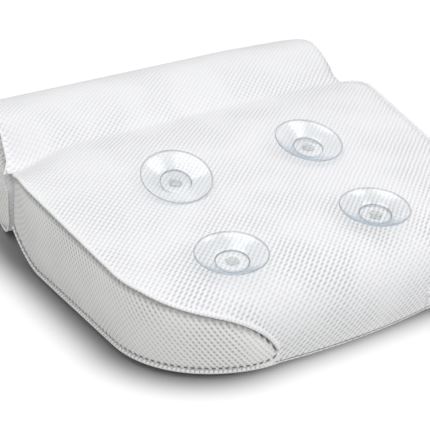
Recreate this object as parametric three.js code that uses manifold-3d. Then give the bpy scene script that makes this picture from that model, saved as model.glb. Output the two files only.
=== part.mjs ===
// Bath pillow of white spacer mesh, lying on its face with the suction cups up.
// A wedge pad and a head roll share one mesh cover and fold along the crease between them.
// Millimetres, +Z up, X along the roll, +Y from the pad to the roll, floor at Z = 0.
import * as THREE from 'three';
import { mergeVertices } from 'three/addons/utils/BufferGeometryUtils.js';
import Module from 'manifold-3d';

const wasm = await Module();
wasm.setup();

// Pad in plan
const padBackWidth = 380;
const padDepth = 255;
const sideTaper = 5.9; // degrees that each side draws in towards the front
const backCornerReach = 14; // from the square corner to where the rounding starts
const frontCornerReach = 84;
const frontBow = 5.5; // how far the front edge bows out

// Pad in side view
const backSeamHeight = 88; // upper gusset seam at the pad's back
const seamSlope = 5; // degrees that the upper seam falls towards the front
const crownRise = 2; // the back panel stands over its side seams
const lowerSeamHeight = 7;
const frontFallReach = 66; // how far in the panel starts to fall over the front
const fallFullness = 2.8; // 2 is an oval fall, higher is squarer
const creaseFallReach = 44;
const undersideReach = 16; // rounding of the face panel into the lower seam
const heelRise = 26; // the lower back edge lifts off the floor
const heelLength = 45;

// Gusset tip on the front edge
const tipOffset = 72; // from the middle of the front edge to the tip
const tipRise = 38;
const tipLength = 55;
const tipSlope = 13; // degrees that the seam goes on rising behind the tip
const gussetBulge = 2.5;

// Cloth, gaps and seams
const clothThickness = 4;
const sewnGap = 0.7; // between cloth edges that are sewn together
const fillGap = 0.8; // between a cover and its filling
const coreFootReach = 14; // rounding of the filling's lower edge
const coreFootRise = 5;
const coreFrontInset = 5; // further inset where the panel falls to the lower seam
const coreCrownDrop = 2; // further drop of the filling under the panel
const coreWallMin = 1; // least height of the filling's edge
const lipSlack = 3.2; // the back wall stops this far under the panel's lip
const seamCordRadius = 1.4;
const seamCordGap = 0.6;

// Crease and head roll
const lipReach = 26; // the back panel reaches this far past the pad's back wall
const creaseHeight = 85;
const creaseGap = 21.8; // from the pad's back wall to the front of the roll
const rollDepth = 133.2;
const rollHeight = 103.5;
const rollLength = 357;
const rollFootFlat = 0.5; // the roll's underside is pressed flat by this much
const noseSlope = 36; // degrees, where the roll's cover leaves the crease
const noseLength = 25;
const rollEndScale = 0.97; // the cover draws in at the roll's ends
const rollEndRound = 10; // length over which it draws in
const rollEndDome = 2;

// Suction cups, washers and their places on the panel
const cupDiameter = 60;
const cupRimHeight = 9.5;
const cupBossRadius = 13.4;
const cupFloorHeight = 2.8;
const cupSkirt = 1.3; // skirt thickness near the boss
const cupRimEdge = 0.7;
const cupButtonRadius = 5.2;
const cupButtonHeight = 0.9;
const cupDimpleRadius = 2.4;
const studRadius = 4;
const studHeadRadius = 7;
const studHeadHeight = 2.6;
const studClearance = 0.35;
const seatDepth = 0.35; // gap under the boss
const seatMargin = 2.5; // the seat pressed into the cloth is this much wider than the boss
const washerRadius = 15;
const washerThickness = 1.6;
const washerGap = 0.3;
const seatedCloth = 3.2; // cloth left between the boss and the washer
const washerMargin = 1; // room round the washer in the cloth
const skirtFlare = 1.15; // 1 is a straight cone, higher flares towards the rim
const backCupSpread = 68.5; // half the distance between the pair
const frontCupSpread = 70;
const backCupShift = -2.5; // the pairs sit a little left of the middle
const frontCupShift = -14;
const backCupSetback = 82; // from the pad's back wall
const frontCupSetback = 195;
const backCupLean = 8; // degrees that the cup leans to the front over the panel
const frontCupLean = 1;

// Places that follow from the sizes above
const overallDepth = padDepth + creaseGap + rollDepth;
const backY = padDepth - overallDepth / 2;
const frontY = backY - padDepth;
const creaseY = backY + lipReach;
const rollY = backY + creaseGap + rollDepth / 2;
const rollZ = (rollHeight - rollFootFlat) / 2;
const planCentreY = backY - padDepth / 2;
const taperTangent = Math.tan(THREE.MathUtils.degToRad(sideTaper));

// Shell colours
const meshWhite = new THREE.Color(0.93, 0.93, 0.94);
const coreWhite = new THREE.Color(0.86, 0.87, 0.88);
const clearVinyl = new THREE.Color(0.82, 0.88, 0.92);

const pillow = new THREE.Group();

function addPart(name, geometry, color, roughness) {
  const material = new THREE.MeshStandardMaterial({ color, roughness, metalness: 0 });
  const mesh = new THREE.Mesh(geometry, material);
  mesh.name = name;
  pillow.add(mesh);
  return mesh;
}

// Booleans

// A copy with positions only
function bare(geometry) {
  const plain = geometry.clone();
  plain.deleteAttribute('normal');
  plain.deleteAttribute('uv');
  return plain;
}

function toSolid(geometry) {
  const merged = mergeVertices(bare(geometry), 1e-4);
  const vertProperties = new Float32Array(merged.attributes.position.array);
  const triVerts = new Uint32Array(merged.index.array);
  return new wasm.Manifold(new wasm.Mesh({ numProp: 3, vertProperties, triVerts }));
}

function toGeometry(solid) {
  const mesh = solid.getMesh();
  const geometry = new THREE.BufferGeometry();
  geometry.setAttribute('position', new THREE.BufferAttribute(mesh.vertProperties, 3));
  geometry.setIndex(new THREE.BufferAttribute(mesh.triVerts, 1));
  return geometry;
}

// Closed bodies from grids of points

function bodyFrom(points, triangles) {
  const geometry = new THREE.BufferGeometry();
  geometry.setFromPoints(points);
  geometry.setIndex(triangles);
  return geometry;
}

// Two dished faces over the same plan, each a pole and rings of points, joined at the rim
function dishedBody(upper, lower) {
  const points = [upper.pole, ...upper.rings.flat(), lower.pole, ...lower.rings.flat()];
  const count = upper.rings[0].length;
  const lowerStart = 1 + upper.rings.length * count;
  const triangles = [];
  const face = (start, rings, flip) => {
    const put = (a, b, c) => triangles.push(a, flip ? c : b, flip ? b : c);
    for (let i = 0; i < count; i++) {
      const next = (i + 1) % count;
      put(start, start + 1 + i, start + 1 + next);
      for (let k = 1; k < rings; k++) {
        const inner = start + 1 + (k - 1) * count;
        const outer = inner + count;
        put(inner + i, outer + i, outer + next);
        put(inner + i, outer + next, inner + next);
      }
    }
  };
  face(0, upper.rings.length, false);
  face(lowerStart, lower.rings.length, true);
  const upperRim = 1 + (upper.rings.length - 1) * count;
  const lowerRim = lowerStart + 1 + (lower.rings.length - 1) * count;
  for (let i = 0; i < count; i++) {
    const next = (i + 1) % count;
    triangles.push(upperRim + i, lowerRim + i, lowerRim + next);
    triangles.push(upperRim + i, lowerRim + next, upperRim + next);
  }
  return bodyFrom(points, triangles);
}

// A strip of cloth between an outer and an inner grid, both as columns from the lower to the upper edge
function stripBody(outer, inner) {
  const columns = outer.length;
  const rows = outer[0].length;
  const points = [...outer.flat(), ...inner.flat()];
  const at = (side, i, j) => (side * columns + i) * rows + j;
  const triangles = [];
  const quad = (a, b, c, d) => triangles.push(a, b, c, a, c, d);
  for (let i = 0; i + 1 < columns; i++) {
    for (let j = 0; j + 1 < rows; j++) {
      quad(at(0, i, j), at(0, i + 1, j), at(0, i + 1, j + 1), at(0, i, j + 1));
      quad(at(1, i, j), at(1, i, j + 1), at(1, i + 1, j + 1), at(1, i + 1, j));
    }
    quad(at(0, i, 0), at(1, i, 0), at(1, i + 1, 0), at(0, i + 1, 0));
    const top = rows - 1;
    quad(at(0, i, top), at(0, i + 1, top), at(1, i + 1, top), at(1, i, top));
  }
  for (let j = 0; j + 1 < rows; j++) {
    const end = columns - 1;
    quad(at(0, 0, j), at(0, 0, j + 1), at(1, 0, j + 1), at(1, 0, j));
    quad(at(0, end, j), at(1, end, j), at(1, end, j + 1), at(0, end, j + 1));
  }
  return bodyFrom(points, triangles);
}

// Sections along X, each a loop of [y, z] points that runs anticlockwise seen from +X
function loftBody(stations) {
  const count = stations[0].loop.length;
  const points = stations.flatMap(({ x, loop }) => loop.map(([y, z]) => new THREE.Vector3(x, y, z)));
  const triangles = [];
  for (let s = 0; s + 1 < stations.length; s++) {
    for (let i = 0; i < count; i++) {
      const a = s * count + i;
      const b = s * count + ((i + 1) % count);
      triangles.push(a, b, b + count, a, b + count, a + count);
    }
  }
  const last = (stations.length - 1) * count;
  for (const { x, start, flip } of [
    { x: stations[0].x, start: 0, flip: true },
    { x: stations[stations.length - 1].x, start: last, flip: false },
  ]) {
    const middle = points.push(new THREE.Vector3(x, rollY, rollZ)) - 1;
    for (let i = 0; i < count; i++) {
      const next = (i + 1) % count;
      triangles.push(middle, start + (flip ? next : i), start + (flip ? i : next));
    }
  }
  return bodyFrom(points, triangles);
}

// A round cord along points, closed into a ring or with flat ends
function cordBody(points, closed, steps) {
  const curve = new THREE.CatmullRomCurve3(points, closed, 'centripetal');
  const sides = 6;
  if (!closed) {
    const around = Array.from({ length: sides }, (_, k) => (2 * Math.PI * k) / sides);
    const section = new THREE.Shape(around.map((a) => (
      new THREE.Vector2(Math.cos(a), Math.sin(a)).multiplyScalar(seamCordRadius))));
    return new THREE.ExtrudeGeometry(section, { steps, extrudePath: curve, bevelEnabled: false });
  }
  return new THREE.TubeGeometry(curve, steps, seamCordRadius, sides, true);
}

// Plan of the pad: its left half from the middle of the back edge to the middle of the front edge

const tip = { start: 0, reach: 0 };
const halfPlan = makeHalfPlan();
const fullPlan = mirrorPlan(halfPlan);

function makeHalfPlan() {
  const round = 0.56; // share of the reach at which a Bezier corner is nearly circular
  const side = new THREE.Vector2(taperTangent, -1).normalize();
  const backVertex = new THREE.Vector2(-padBackWidth / 2, backY);
  const backTurn = backVertex.clone().add(new THREE.Vector2(backCornerReach, 0));
  const sideStart = backVertex.clone().addScaledVector(side, backCornerReach);
  const frontVertex = backVertex.clone().addScaledVector(side, (padDepth - frontBow) / -side.y);
  const sideEnd = frontVertex.clone().addScaledVector(side, -frontCornerReach);
  const frontStart = frontVertex.clone().add(new THREE.Vector2(frontCornerReach, 0));
  const frontControl = new THREE.Vector2(frontStart.x / 2, frontY);
  const frontTangent = frontControl.clone().sub(frontStart).normalize();
  const towards = (from, to, share) => from.clone().lerp(to, share);

  const path = new THREE.CurvePath();
  path.add(new THREE.LineCurve(new THREE.Vector2(0, backY), backTurn));
  path.add(new THREE.CubicBezierCurve(
    backTurn, towards(backTurn, backVertex, round), towards(sideStart, backVertex, round), sideStart));
  path.add(new THREE.LineCurve(sideStart, sideEnd));
  const lastControl = frontStart.clone().addScaledVector(frontTangent, -round * frontCornerReach);
  path.add(new THREE.CubicBezierCurve(
    sideEnd, towards(sideEnd, frontVertex, round), lastControl, frontStart));
  path.add(new THREE.QuadraticBezierCurve(frontStart, frontControl, new THREE.Vector2(0, frontY)));

  const [backEnd, cornerEnd, sideStop] = path.getCurveLengths();
  const total = path.getLength();
  tip.start = total - tipOffset;
  tip.reach = tip.start - sideStop;
  const backSteps = 4;
  const cornerSteps = 3;
  const sideSteps = 5;
  const tipSteps = 9;
  const frontSteps = 3;
  const lengths = [];
  const spread = (from, to, steps) => {
    for (let k = 0; k < steps; k++) lengths.push(from + ((to - from) * k) / steps);
  };
  spread(0, backEnd, backSteps);
  lengths.push(backEnd);
  for (let k = 1; k < cornerSteps; k++) lengths.push(backEnd + ((cornerEnd - backEnd) * k) / cornerSteps);
  spread(cornerEnd, sideStop, sideSteps);
  for (let k = tipSteps; k > 0; k--) lengths.push(tip.start - tip.reach * (k / tipSteps) ** 2);
  spread(tip.start, total, frontSteps);
  lengths.push(total);
  return lengths.map((length) => {
    const at = path.getPoint(length / total);
    return { x: at.x, y: at.y, lip: length <= backEnd + 1e-6, pastTip: tip.start - length };
  });
}

function mirrorPlan(half) {
  const right = half.slice(1, -1).reverse().map((p) => ({ ...p, x: -p.x }));
  const plan = [...half, ...right];
  plan.forEach((p, i) => {
    const before = plan[(i + plan.length - 1) % plan.length];
    const after = plan[(i + 1) % plan.length];
    p.normal = new THREE.Vector2(after.y - before.y, before.x - after.x).normalize();
  });
  return plan;
}

// Heights

function halfWidthAt(y) {
  return padBackWidth / 2 - (backY - y) * taperTangent;
}

function seamLine(y) {
  return backSeamHeight - (backY - y) * Math.tan(THREE.MathUtils.degToRad(seamSlope));
}

function roundRise(share, fullness = 2) {
  const q = Math.min(Math.max(share, 0), 1);
  return (1 - (1 - q) ** fullness) ** (1 / fullness);
}

function plateau(x, y) {
  const across = 1 - Math.min((x / halfWidthAt(y)) ** 2, 1);
  return seamLine(y) + crownRise * across;
}

function heelLift(y) {
  const past = Math.min(Math.max(y - (backY - heelLength), 0), heelLength);
  return heelRise * (past / heelLength) ** 2;
}

// The sewn gap, opened where the lower seam climbs the heel
function lowerGap(y) {
  const past = Math.min(Math.max(y - (backY - heelLength), 0), heelLength);
  return sewnGap * (1 + (2 * heelRise * past) / heelLength ** 2);
}

function lowerSeam(y) {
  return heelLift(y) + lowerSeamHeight;
}

// Height of the back panel's edge at a point of the plan
function upperSeam(p) {
  if (p.pastTip <= 0) return lowerSeam(p.y) + sewnGap;
  const slope = Math.tan(THREE.MathUtils.degToRad(tipSlope));
  const rising = lowerSeamHeight + tipRise * roundRise(p.pastTip / tipLength) + slope * p.pastTip;
  return Math.min(rising, seamLine(p.y));
}

// Height of the back panel at a distance in from a point of its rim. The front fall is cut off by the gusset's seam.
function topHeight(x, y, inset, p) {
  const high = plateau(x, y);
  if (p.lip) return creaseHeight + (high - creaseHeight) * roundRise(inset / creaseFallReach);
  const share = (upperSeam(p) - lowerSeamHeight) / (plateau(p.x, p.y) - lowerSeamHeight);
  const start = 1 - (1 - share ** fallFullness) ** (1 / fallFullness);
  const rise = roundRise(start + inset / frontFallReach, fallFullness);
  return lowerSeamHeight + (high - lowerSeamHeight) * rise;
}

// Panels of the pad

function ringsOver(plan, shares, heightAt) {
  const pole = new THREE.Vector3(0, planCentreY, heightAt(0, planCentreY, 1e3, plan[0]));
  const rings = shares.map((share) => plan.map((p) => {
    const x = p.x * share;
    const y = planCentreY + (p.y - planCentreY) * share;
    const support = p.x * p.normal.x + (p.y - planCentreY) * p.normal.y;
    return new THREE.Vector3(x, y, heightAt(x, y, (1 - share) * support, p));
  }));
  return { pole, rings };
}

// The same face moved along its normals, with the rim set by hand
function offsetFace(face, distance, rim) {
  const count = face.rings[0].length;
  const points = [face.pole, ...face.rings.flat()];
  const triangles = [];
  for (let i = 0; i < count; i++) {
    const next = (i + 1) % count;
    triangles.push(0, 1 + i, 1 + next);
    for (let k = 1; k < face.rings.length; k++) {
      const inner = 1 + (k - 1) * count;
      triangles.push(inner + i, inner + count + i, inner + count + next);
      triangles.push(inner + i, inner + count + next, inner + next);
    }
  }
  const surface = bodyFrom(points, triangles);
  surface.computeVertexNormals();
  const normals = surface.attributes.normal;
  const moved = points.map((p, i) => {
    const normal = new THREE.Vector3().fromBufferAttribute(normals, i);
    return p.clone().addScaledVector(normal, distance);
  });
  const rings = face.rings.map((_, k) => moved.slice(1 + k * count, 1 + (k + 1) * count));
  rings[rings.length - 1] = rim;
  return { pole: moved[0], rings };
}

// Where the inside corner of two mitred cloth edges lies under or over the seam
function mitre(face, i) {
  const last = face.rings[face.rings.length - 1][i];
  const inner = face.rings[face.rings.length - 2][i];
  const run = Math.hypot(last.x - inner.x, last.y - inner.y);
  const slope = Math.atan2(Math.abs(inner.z - last.z), run);
  return { drop: clothThickness * Math.tan(Math.PI / 4 - slope / 2), slope };
}

const topShares = [0.35, 0.55, 0.7, 0.82, 0.91, 0.97, 1];
const faceShares = [0.4, 0.7, 0.86, 0.93, 0.97, 1];
const coreShares = [0.4, 0.62, 0.78, 0.9, 0.96, 1];

const topPlan = mirrorPlan(halfPlan.map((p) => (
  p.lip ? { ...p, y: creaseY - sewnGap / 2 } : p)));

function faceHeight(x, y, inset) {
  return heelLift(y) + lowerSeamHeight * (1 - roundRise(inset / undersideReach));
}

const topOuter = ringsOver(topPlan, topShares, topHeight);
const faceOuter = ringsOver(fullPlan, faceShares, faceHeight);

// Inside corners of the cloth at each point of the plan, kept a sewn gap apart
const corners = fullPlan.map((p, i) => {
  const upper = mitre(topOuter, i);
  const lower = mitre(faceOuter, i);
  let top = topOuter.rings[topOuter.rings.length - 1][i].z - upper.drop;
  let bottom = lowerSeam(p.y) + lower.drop;
  if (!p.lip && top - bottom < sewnGap) {
    const middle = (top + bottom) / 2;
    top = middle + sewnGap / 2;
    bottom = middle - sewnGap / 2;
  }
  return { top, bottom, slope: upper.slope };
});

function insideRim(plan, heightAt) {
  return plan.map((p, i) => {
    const x = p.x - p.normal.x * clothThickness;
    const y = p.y - p.normal.y * clothThickness;
    return new THREE.Vector3(x, y, heightAt(i));
  });
}

const topInner = offsetFace(topOuter, -clothThickness, insideRim(topPlan, (i) => corners[i].top));
const faceInner = offsetFace(faceOuter, clothThickness, insideRim(fullPlan, (i) => corners[i].bottom));

// Suction cups: places on the panel, each with the panel's own slope and a lean to the front

const cupPlaces = [
  { name: 'back_left', x: backCupShift - backCupSpread, y: backY - backCupSetback, lean: backCupLean },
  { name: 'back_right', x: backCupShift + backCupSpread, y: backY - backCupSetback, lean: backCupLean },
  { name: 'front_left', x: frontCupShift - frontCupSpread, y: backY - frontCupSetback, lean: frontCupLean },
  { name: 'front_right', x: frontCupShift + frontCupSpread, y: backY - frontCupSetback, lean: frontCupLean },
];

for (const place of cupPlaces) {
  const step = 1;
  const slopeX = (plateau(place.x + step, place.y) - plateau(place.x - step, place.y)) / (2 * step);
  const slopeY = (plateau(place.x, place.y + step) - plateau(place.x, place.y - step)) / (2 * step);
  const lean = Math.atan(slopeY) + THREE.MathUtils.degToRad(place.lean);
  const axis = new THREE.Vector3(-slopeX, -Math.tan(lean), 1).normalize();
  const turn = new THREE.Quaternion().setFromUnitVectors(new THREE.Vector3(0, 0, 1), axis);
  const origin = new THREE.Vector3(place.x, place.y, plateau(place.x, place.y));
  place.axis = axis;
  place.origin = origin;
  place.matrix = new THREE.Matrix4().compose(origin, turn, new THREE.Vector3(1, 1, 1));
}

const washerTop = -seatDepth - seatedCloth - washerGap;
const headTop = washerTop - washerThickness - washerGap;
const headBottom = headTop - studHeadHeight;
const roundSteps = 20;
const seatSteps = 12;

// A disc about a cup's own axis, between two heights over its seat
function seatDisc(place, radius, low, high) {
  const disc = new THREE.CylinderGeometry(radius, radius, high - low, seatSteps);
  disc.rotateX(Math.PI / 2);
  disc.translate(0, 0, (low + high) / 2);
  disc.applyMatrix4(place.matrix);
  return toSolid(disc);
}

function turned(profile) {
  const points = profile.map(([r, z]) => new THREE.Vector2(r, z));
  const lathe = new THREE.LatheGeometry(points, roundSteps);
  lathe.rotateX(Math.PI / 2);
  return toGeometry(toSolid(lathe));
}

function cupGeometry() {
  const rim = cupDiameter / 2;
  const flare = rim - cupBossRadius;
  const rise = cupRimHeight - cupFloorHeight;
  const headEdge = studHeadHeight / 3;
  const bossEdge = cupFloorHeight / 3;
  // outside and inside of the skirt at a share of the way to the rim
  const skirt = (share, inset) => {
    const height = cupFloorHeight + rise * share ** skirtFlare;
    const wall = cupSkirt + (cupRimEdge - cupSkirt) * share;
    return [cupBossRadius + flare * share - inset * wall, height - (1 - inset) * wall];
  };
  return turned([
    [0, headBottom],
    [studHeadRadius - headEdge, headBottom],
    [studHeadRadius, headBottom + headEdge],
    [studHeadRadius, headTop],
    [studRadius, headTop],
    [studRadius, 0],
    [cupBossRadius - bossEdge, 0],
    [cupBossRadius, bossEdge],
    skirt(0.15, 0),
    skirt(0.55, 0),
    skirt(1, 0),
    [rim, cupRimHeight],
    skirt(1, 1),
    skirt(0.55, 1),
    skirt(0.15, 1),
    [cupBossRadius - bossEdge, cupFloorHeight],
    [cupButtonRadius + cupButtonHeight / 2, cupFloorHeight],
    [cupButtonRadius, cupFloorHeight + cupButtonHeight],
    [cupDimpleRadius, cupFloorHeight + cupButtonHeight],
    [cupDimpleRadius / 2, cupFloorHeight],
    [0, cupFloorHeight],
  ]);
}

function washerGeometry() {
  const bore = studRadius + studClearance;
  const low = washerTop - washerThickness;
  return turned([
    [bore, low],
    [washerRadius, low],
    [washerRadius, washerTop],
    [bore, washerTop],
    [bore, low],
  ]);
}

// Back panel with its stud holes and seats
let panel = toSolid(dishedBody(topOuter, topInner));
for (const place of cupPlaces) {
  const hole = seatDisc(place, studRadius + studClearance, -2 * clothThickness, 2 * clothThickness);
  const bossSeat = seatDisc(place, cupBossRadius + seatMargin, -seatDepth, 2 * clothThickness);
  const washerSeat = seatDisc(place, washerRadius + washerMargin, headBottom, -seatDepth - seatedCloth);
  panel = panel.subtract(hole).subtract(bossSeat).subtract(washerSeat);
}
addPart('back_panel', toGeometry(panel), meshWhite, 0.9);

addPart('face_panel', dishedBody(faceInner, faceOuter), meshWhite, 0.9);

// Gussets and back wall, as strips along the plan

function wallColumn(p, low, high, lowInside, highInside, bulge) {
  const rows = 4;
  const outer = [];
  const inner = [];
  for (let j = 0; j <= rows; j++) {
    const share = j / rows;
    const out = bulge * Math.sin(Math.PI * share);
    const place = (depth, z) => new THREE.Vector3(
      p.x + p.normal.x * (out - depth), p.y + p.normal.y * (out - depth), z);
    outer.push(place(0, THREE.MathUtils.lerp(low, high, share)));
    inner.push(place(clothThickness, THREE.MathUtils.lerp(lowInside, highInside, share)));
  }
  return { outer, inner };
}

function between(p, q, distance) {
  const share = distance / Math.hypot(q.x - p.x, q.y - p.y);
  const normal = p.normal.clone().lerp(q.normal, share).normalize();
  const x = THREE.MathUtils.lerp(p.x, q.x, share);
  return { ...p, x, y: THREE.MathUtils.lerp(p.y, q.y, share), normal };
}

const gussetStart = halfPlan.filter((p) => p.lip).length;
const gussetEnd = halfPlan.filter((p) => p.pastTip > 0).length - 1;

function gussetColumns() {
  const columns = [];
  for (let i = gussetStart; i <= gussetEnd; i++) {
    const p = i === gussetStart ? between(fullPlan[i], fullPlan[i + 1], sewnGap) : fullPlan[i];
    const gap = lowerGap(p.y);
    const low = lowerSeam(p.y) + gap;
    const high = upperSeam(fullPlan[i]) - sewnGap;
    const bulge = gussetBulge * Math.min(1, (high - low) / tipLength);
    const { top, bottom } = corners[i];
    columns.push(wallColumn(p, low, high, bottom + gap, top - sewnGap, bulge));
  }
  return columns;
}

function mirrored(geometry) {
  const copy = geometry.clone();
  copy.scale(-1, 1, 1);
  const index = copy.index.array.slice();
  for (let i = 0; i < index.length; i += 3) {
    [index[i + 1], index[i + 2]] = [index[i + 2], index[i + 1]];
  }
  copy.setIndex(new THREE.BufferAttribute(index, 1));
  return copy;
}

function stripOf(columns) {
  return stripBody(columns.map((c) => c.outer), columns.map((c) => c.inner));
}

const leftGusset = stripOf(gussetColumns());
addPart('left_gusset', leftGusset, meshWhite, 0.9);
addPart('right_gusset', mirrored(leftGusset), meshWhite, 0.9);

// Under the lip the back wall stops short of the panel's inner face
function backWall() {
  const drop = clothThickness + lipSlack;
  const half = [];
  for (let i = 0; i <= gussetStart; i++) {
    const p = { ...fullPlan[i] };
    const gap = lowerGap(p.y);
    const low = lowerSeam(p.y) + gap;
    const ceiling = topHeight(p.x, p.y, creaseY - p.y, { ...p, lip: true }) - drop;
    const high = i === gussetStart ? Math.min(corners[i].top - sewnGap, ceiling) : ceiling;
    half.push({ p, low, high, bottom: corners[i].bottom + gap });
  }
  const flip = ({ p, ...rest }) => {
    const normal = new THREE.Vector2(-p.normal.x, p.normal.y);
    return { p: { ...p, x: -p.x, normal }, ...rest };
  };
  const run = [...half.slice(1).reverse().map(flip), ...half];
  return stripOf(run.map(({ p, low, high, bottom }) => wallColumn(p, low, high, bottom, high, 0)));
}

addPart('back_wall', backWall(), meshWhite, 0.9);

// Filling of the pad, hollowed under each washer
const coreInset = clothThickness + fillGap;
const corePlan = fullPlan.map((p) => {
  const wall = Math.min((upperSeam(p) - lowerSeam(p.y)) / tipRise, 1);
  const inset = coreInset + coreFrontInset * (1 - wall);
  return { ...p, x: p.x - p.normal.x * inset, y: p.y - p.normal.y * inset };
});
const coreLower = ringsOver(corePlan, coreShares, (x, y, inset) => (
  heelLift(Math.min(y + coreInset, backY)) + coreInset
  + coreFootRise * (1 - roundRise(inset / coreFootReach))
));
const coreUpper = ringsOver(corePlan, coreShares, (x, y, inset, p) => {
  const floor = lowerSeam(p.y) + coreInset + coreWallMin;
  const under = topHeight(x, y, p.lip ? inset + lipReach : inset, p) - coreInset - coreCrownDrop;
  return Math.max(under, floor);
});
let core = toSolid(dishedBody(coreUpper, coreLower));
for (const place of cupPlaces) {
  const hollow = seatDisc(place, washerRadius + 2 * washerMargin, headBottom - fillGap, 3 * clothThickness);
  core = core.subtract(hollow);
}
addPart('pad_core', toGeometry(core), coreWhite, 0.95);

// Seam cord round each gusset: along the upper seam, about the tip and back along the lower seam
function gussetSeam() {
  const off = seamCordRadius + seamCordGap;
  const points = [];
  const place = (p, z, rise) => {
    const out = off * Math.cos(rise);
    points.push(new THREE.Vector3(
      p.x + p.normal.x * out, p.y + p.normal.y * out, z + off * Math.sin(rise)));
  };
  for (let i = gussetStart; i <= gussetEnd; i++) {
    place(fullPlan[i], upperSeam(fullPlan[i]), (Math.PI / 2 - corners[i].slope) / 2);
  }
  place(fullPlan[gussetEnd + 1], lowerSeamHeight + seamCordRadius, 0);
  for (let i = gussetEnd - 1; i >= gussetStart; i--) {
    place(fullPlan[i], lowerSeam(fullPlan[i].y), -Math.PI / 6);
  }
  return cordBody(points, false, 60);
}

const leftSeam = gussetSeam();
addPart('left_gusset_seam', leftSeam, meshWhite, 0.85);
addPart('right_gusset_seam', mirrored(mergeVertices(bare(leftSeam), 1e-4)), meshWhite, 0.85);

// Head roll: a drop-shaped cover whose nose meets the back panel at the crease

function rollSection() {
  const nose = new THREE.Vector2(creaseY + sewnGap / 2, creaseHeight);
  const angle = THREE.MathUtils.degToRad(noseSlope);
  const rise = new THREE.Vector2(Math.cos(angle), Math.sin(angle)).multiplyScalar(noseLength);
  const start = nose.clone().add(rise);
  const path = new THREE.Path();
  path.moveTo(nose.x, nose.y);
  path.bezierCurveTo(start.x, start.y, rollY - rollDepth / 5, rollHeight, rollY, rollHeight);
  const halfHeight = rollHeight - rollZ;
  path.absellipse(rollY, rollZ, rollDepth / 2, halfHeight, Math.PI / 2, -Math.PI, true);
  const chin = new THREE.Vector2(nose.x + clothThickness, creaseHeight - clothThickness);
  path.quadraticCurveTo(rollY - rollDepth / 2, (rollZ + chin.y) / 2, chin.x, chin.y);
  const loop = path.getPoints(12).map((p) => [p.x, Math.max(p.y, 0)]);
  const distinct = loop.filter(([y, z], i) => {
    const [yb, zb] = loop[(i + loop.length - 1) % loop.length];
    return Math.hypot(y - yb, z - zb) > 0.05;
  });
  return distinct.reverse();
}

function scaledLoop(loop, scale) {
  return loop.map(([y, z]) => [rollY + (y - rollY) * scale, Math.max(rollZ + (z - rollZ) * scale, 0)]);
}

function ovalLoop(inset) {
  const steps = 32;
  const halfHeight = rollHeight - rollZ - inset;
  const loop = [];
  for (let k = 0; k < steps; k++) {
    const a = (2 * Math.PI * k) / steps;
    const z = rollZ + halfHeight * Math.sin(a);
    loop.push([rollY + (rollDepth / 2 - inset) * Math.cos(a), Math.max(z, inset)]);
  }
  return loop;
}

const coverHalf = rollLength / 2 - 2 * seamCordRadius - seamCordGap;

// Stations from one end to the other, drawn in at both
function rollStations(half, loop, endScale) {
  const shares = [0, 0.15, 0.45, 1];
  const left = shares.map((share) => {
    const scale = 1 - (1 - endScale) * (1 - roundRise(share));
    return { x: -half + rollEndRound * share, loop: scaledLoop(loop, scale) };
  });
  const right = left.map((station) => ({ ...station, x: -station.x })).reverse();
  return [...left, ...right];
}

const coverOuter = toSolid(loftBody(rollStations(coverHalf, rollSection(), rollEndScale)));
const bore = loftBody(rollStations(coverHalf + clothThickness, ovalLoop(clothThickness), 1));
addPart('roll_cover', toGeometry(coverOuter.subtract(toSolid(bore))), meshWhite, 0.9);

const rollCoreHalf = coverHalf - clothThickness - fillGap;
addPart('roll_core', loftBody(rollStations(rollCoreHalf, ovalLoop(coreInset), rollEndScale)), coreWhite, 0.95);

// Ends of the roll, sewn into the cover and slightly domed
function rollEnd() {
  const edge = ovalLoop(clothThickness + sewnGap);
  const dome = [[0, 1], [1, 1]].map(([share, scale]) => (
    { x: coverHalf - clothThickness * (1 - share), loop: scaledLoop(edge, scale) }));
  const crown = [[0.7, 0.85], [1, 0.55]].map(([share, scale]) => (
    { x: coverHalf + rollEndDome * share, loop: scaledLoop(edge, scale) }));
  return loftBody([...dome, ...crown]);
}

const rightEnd = rollEnd();
addPart('roll_right_end', rightEnd, meshWhite, 0.9);
addPart('roll_left_end', mirrored(rightEnd), meshWhite, 0.9);

// Seam cord round each end of the roll, over the joint of cover and end
function rollEndSeam() {
  const joint = ovalLoop(clothThickness + sewnGap / 2);
  const x = coverHalf + seamCordRadius + seamCordGap;
  const ring = cordBody(joint.map(([y, z]) => new THREE.Vector3(x, y, z)), true, 48);
  return mergeVertices(bare(ring), 1e-3);
}

const rightEndSeam = rollEndSeam();
addPart('roll_right_seam', rightEndSeam, meshWhite, 0.85);
addPart('roll_left_seam', mirrored(rightEndSeam), meshWhite, 0.85);

// Cups and washers, each turned about its own stud

for (const place of cupPlaces) {
  const cup = addPart(`${place.name}_cup`, cupGeometry(), clearVinyl, 0.1);
  cup.applyMatrix4(place.matrix);
  const washer = addPart(`${place.name}_washer`, washerGeometry(), clearVinyl, 0.4);
  washer.applyMatrix4(place.matrix);
}

export default pillow;
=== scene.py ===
import math
import bpy
import numpy as np
from mathutils import Matrix, Vector


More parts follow.
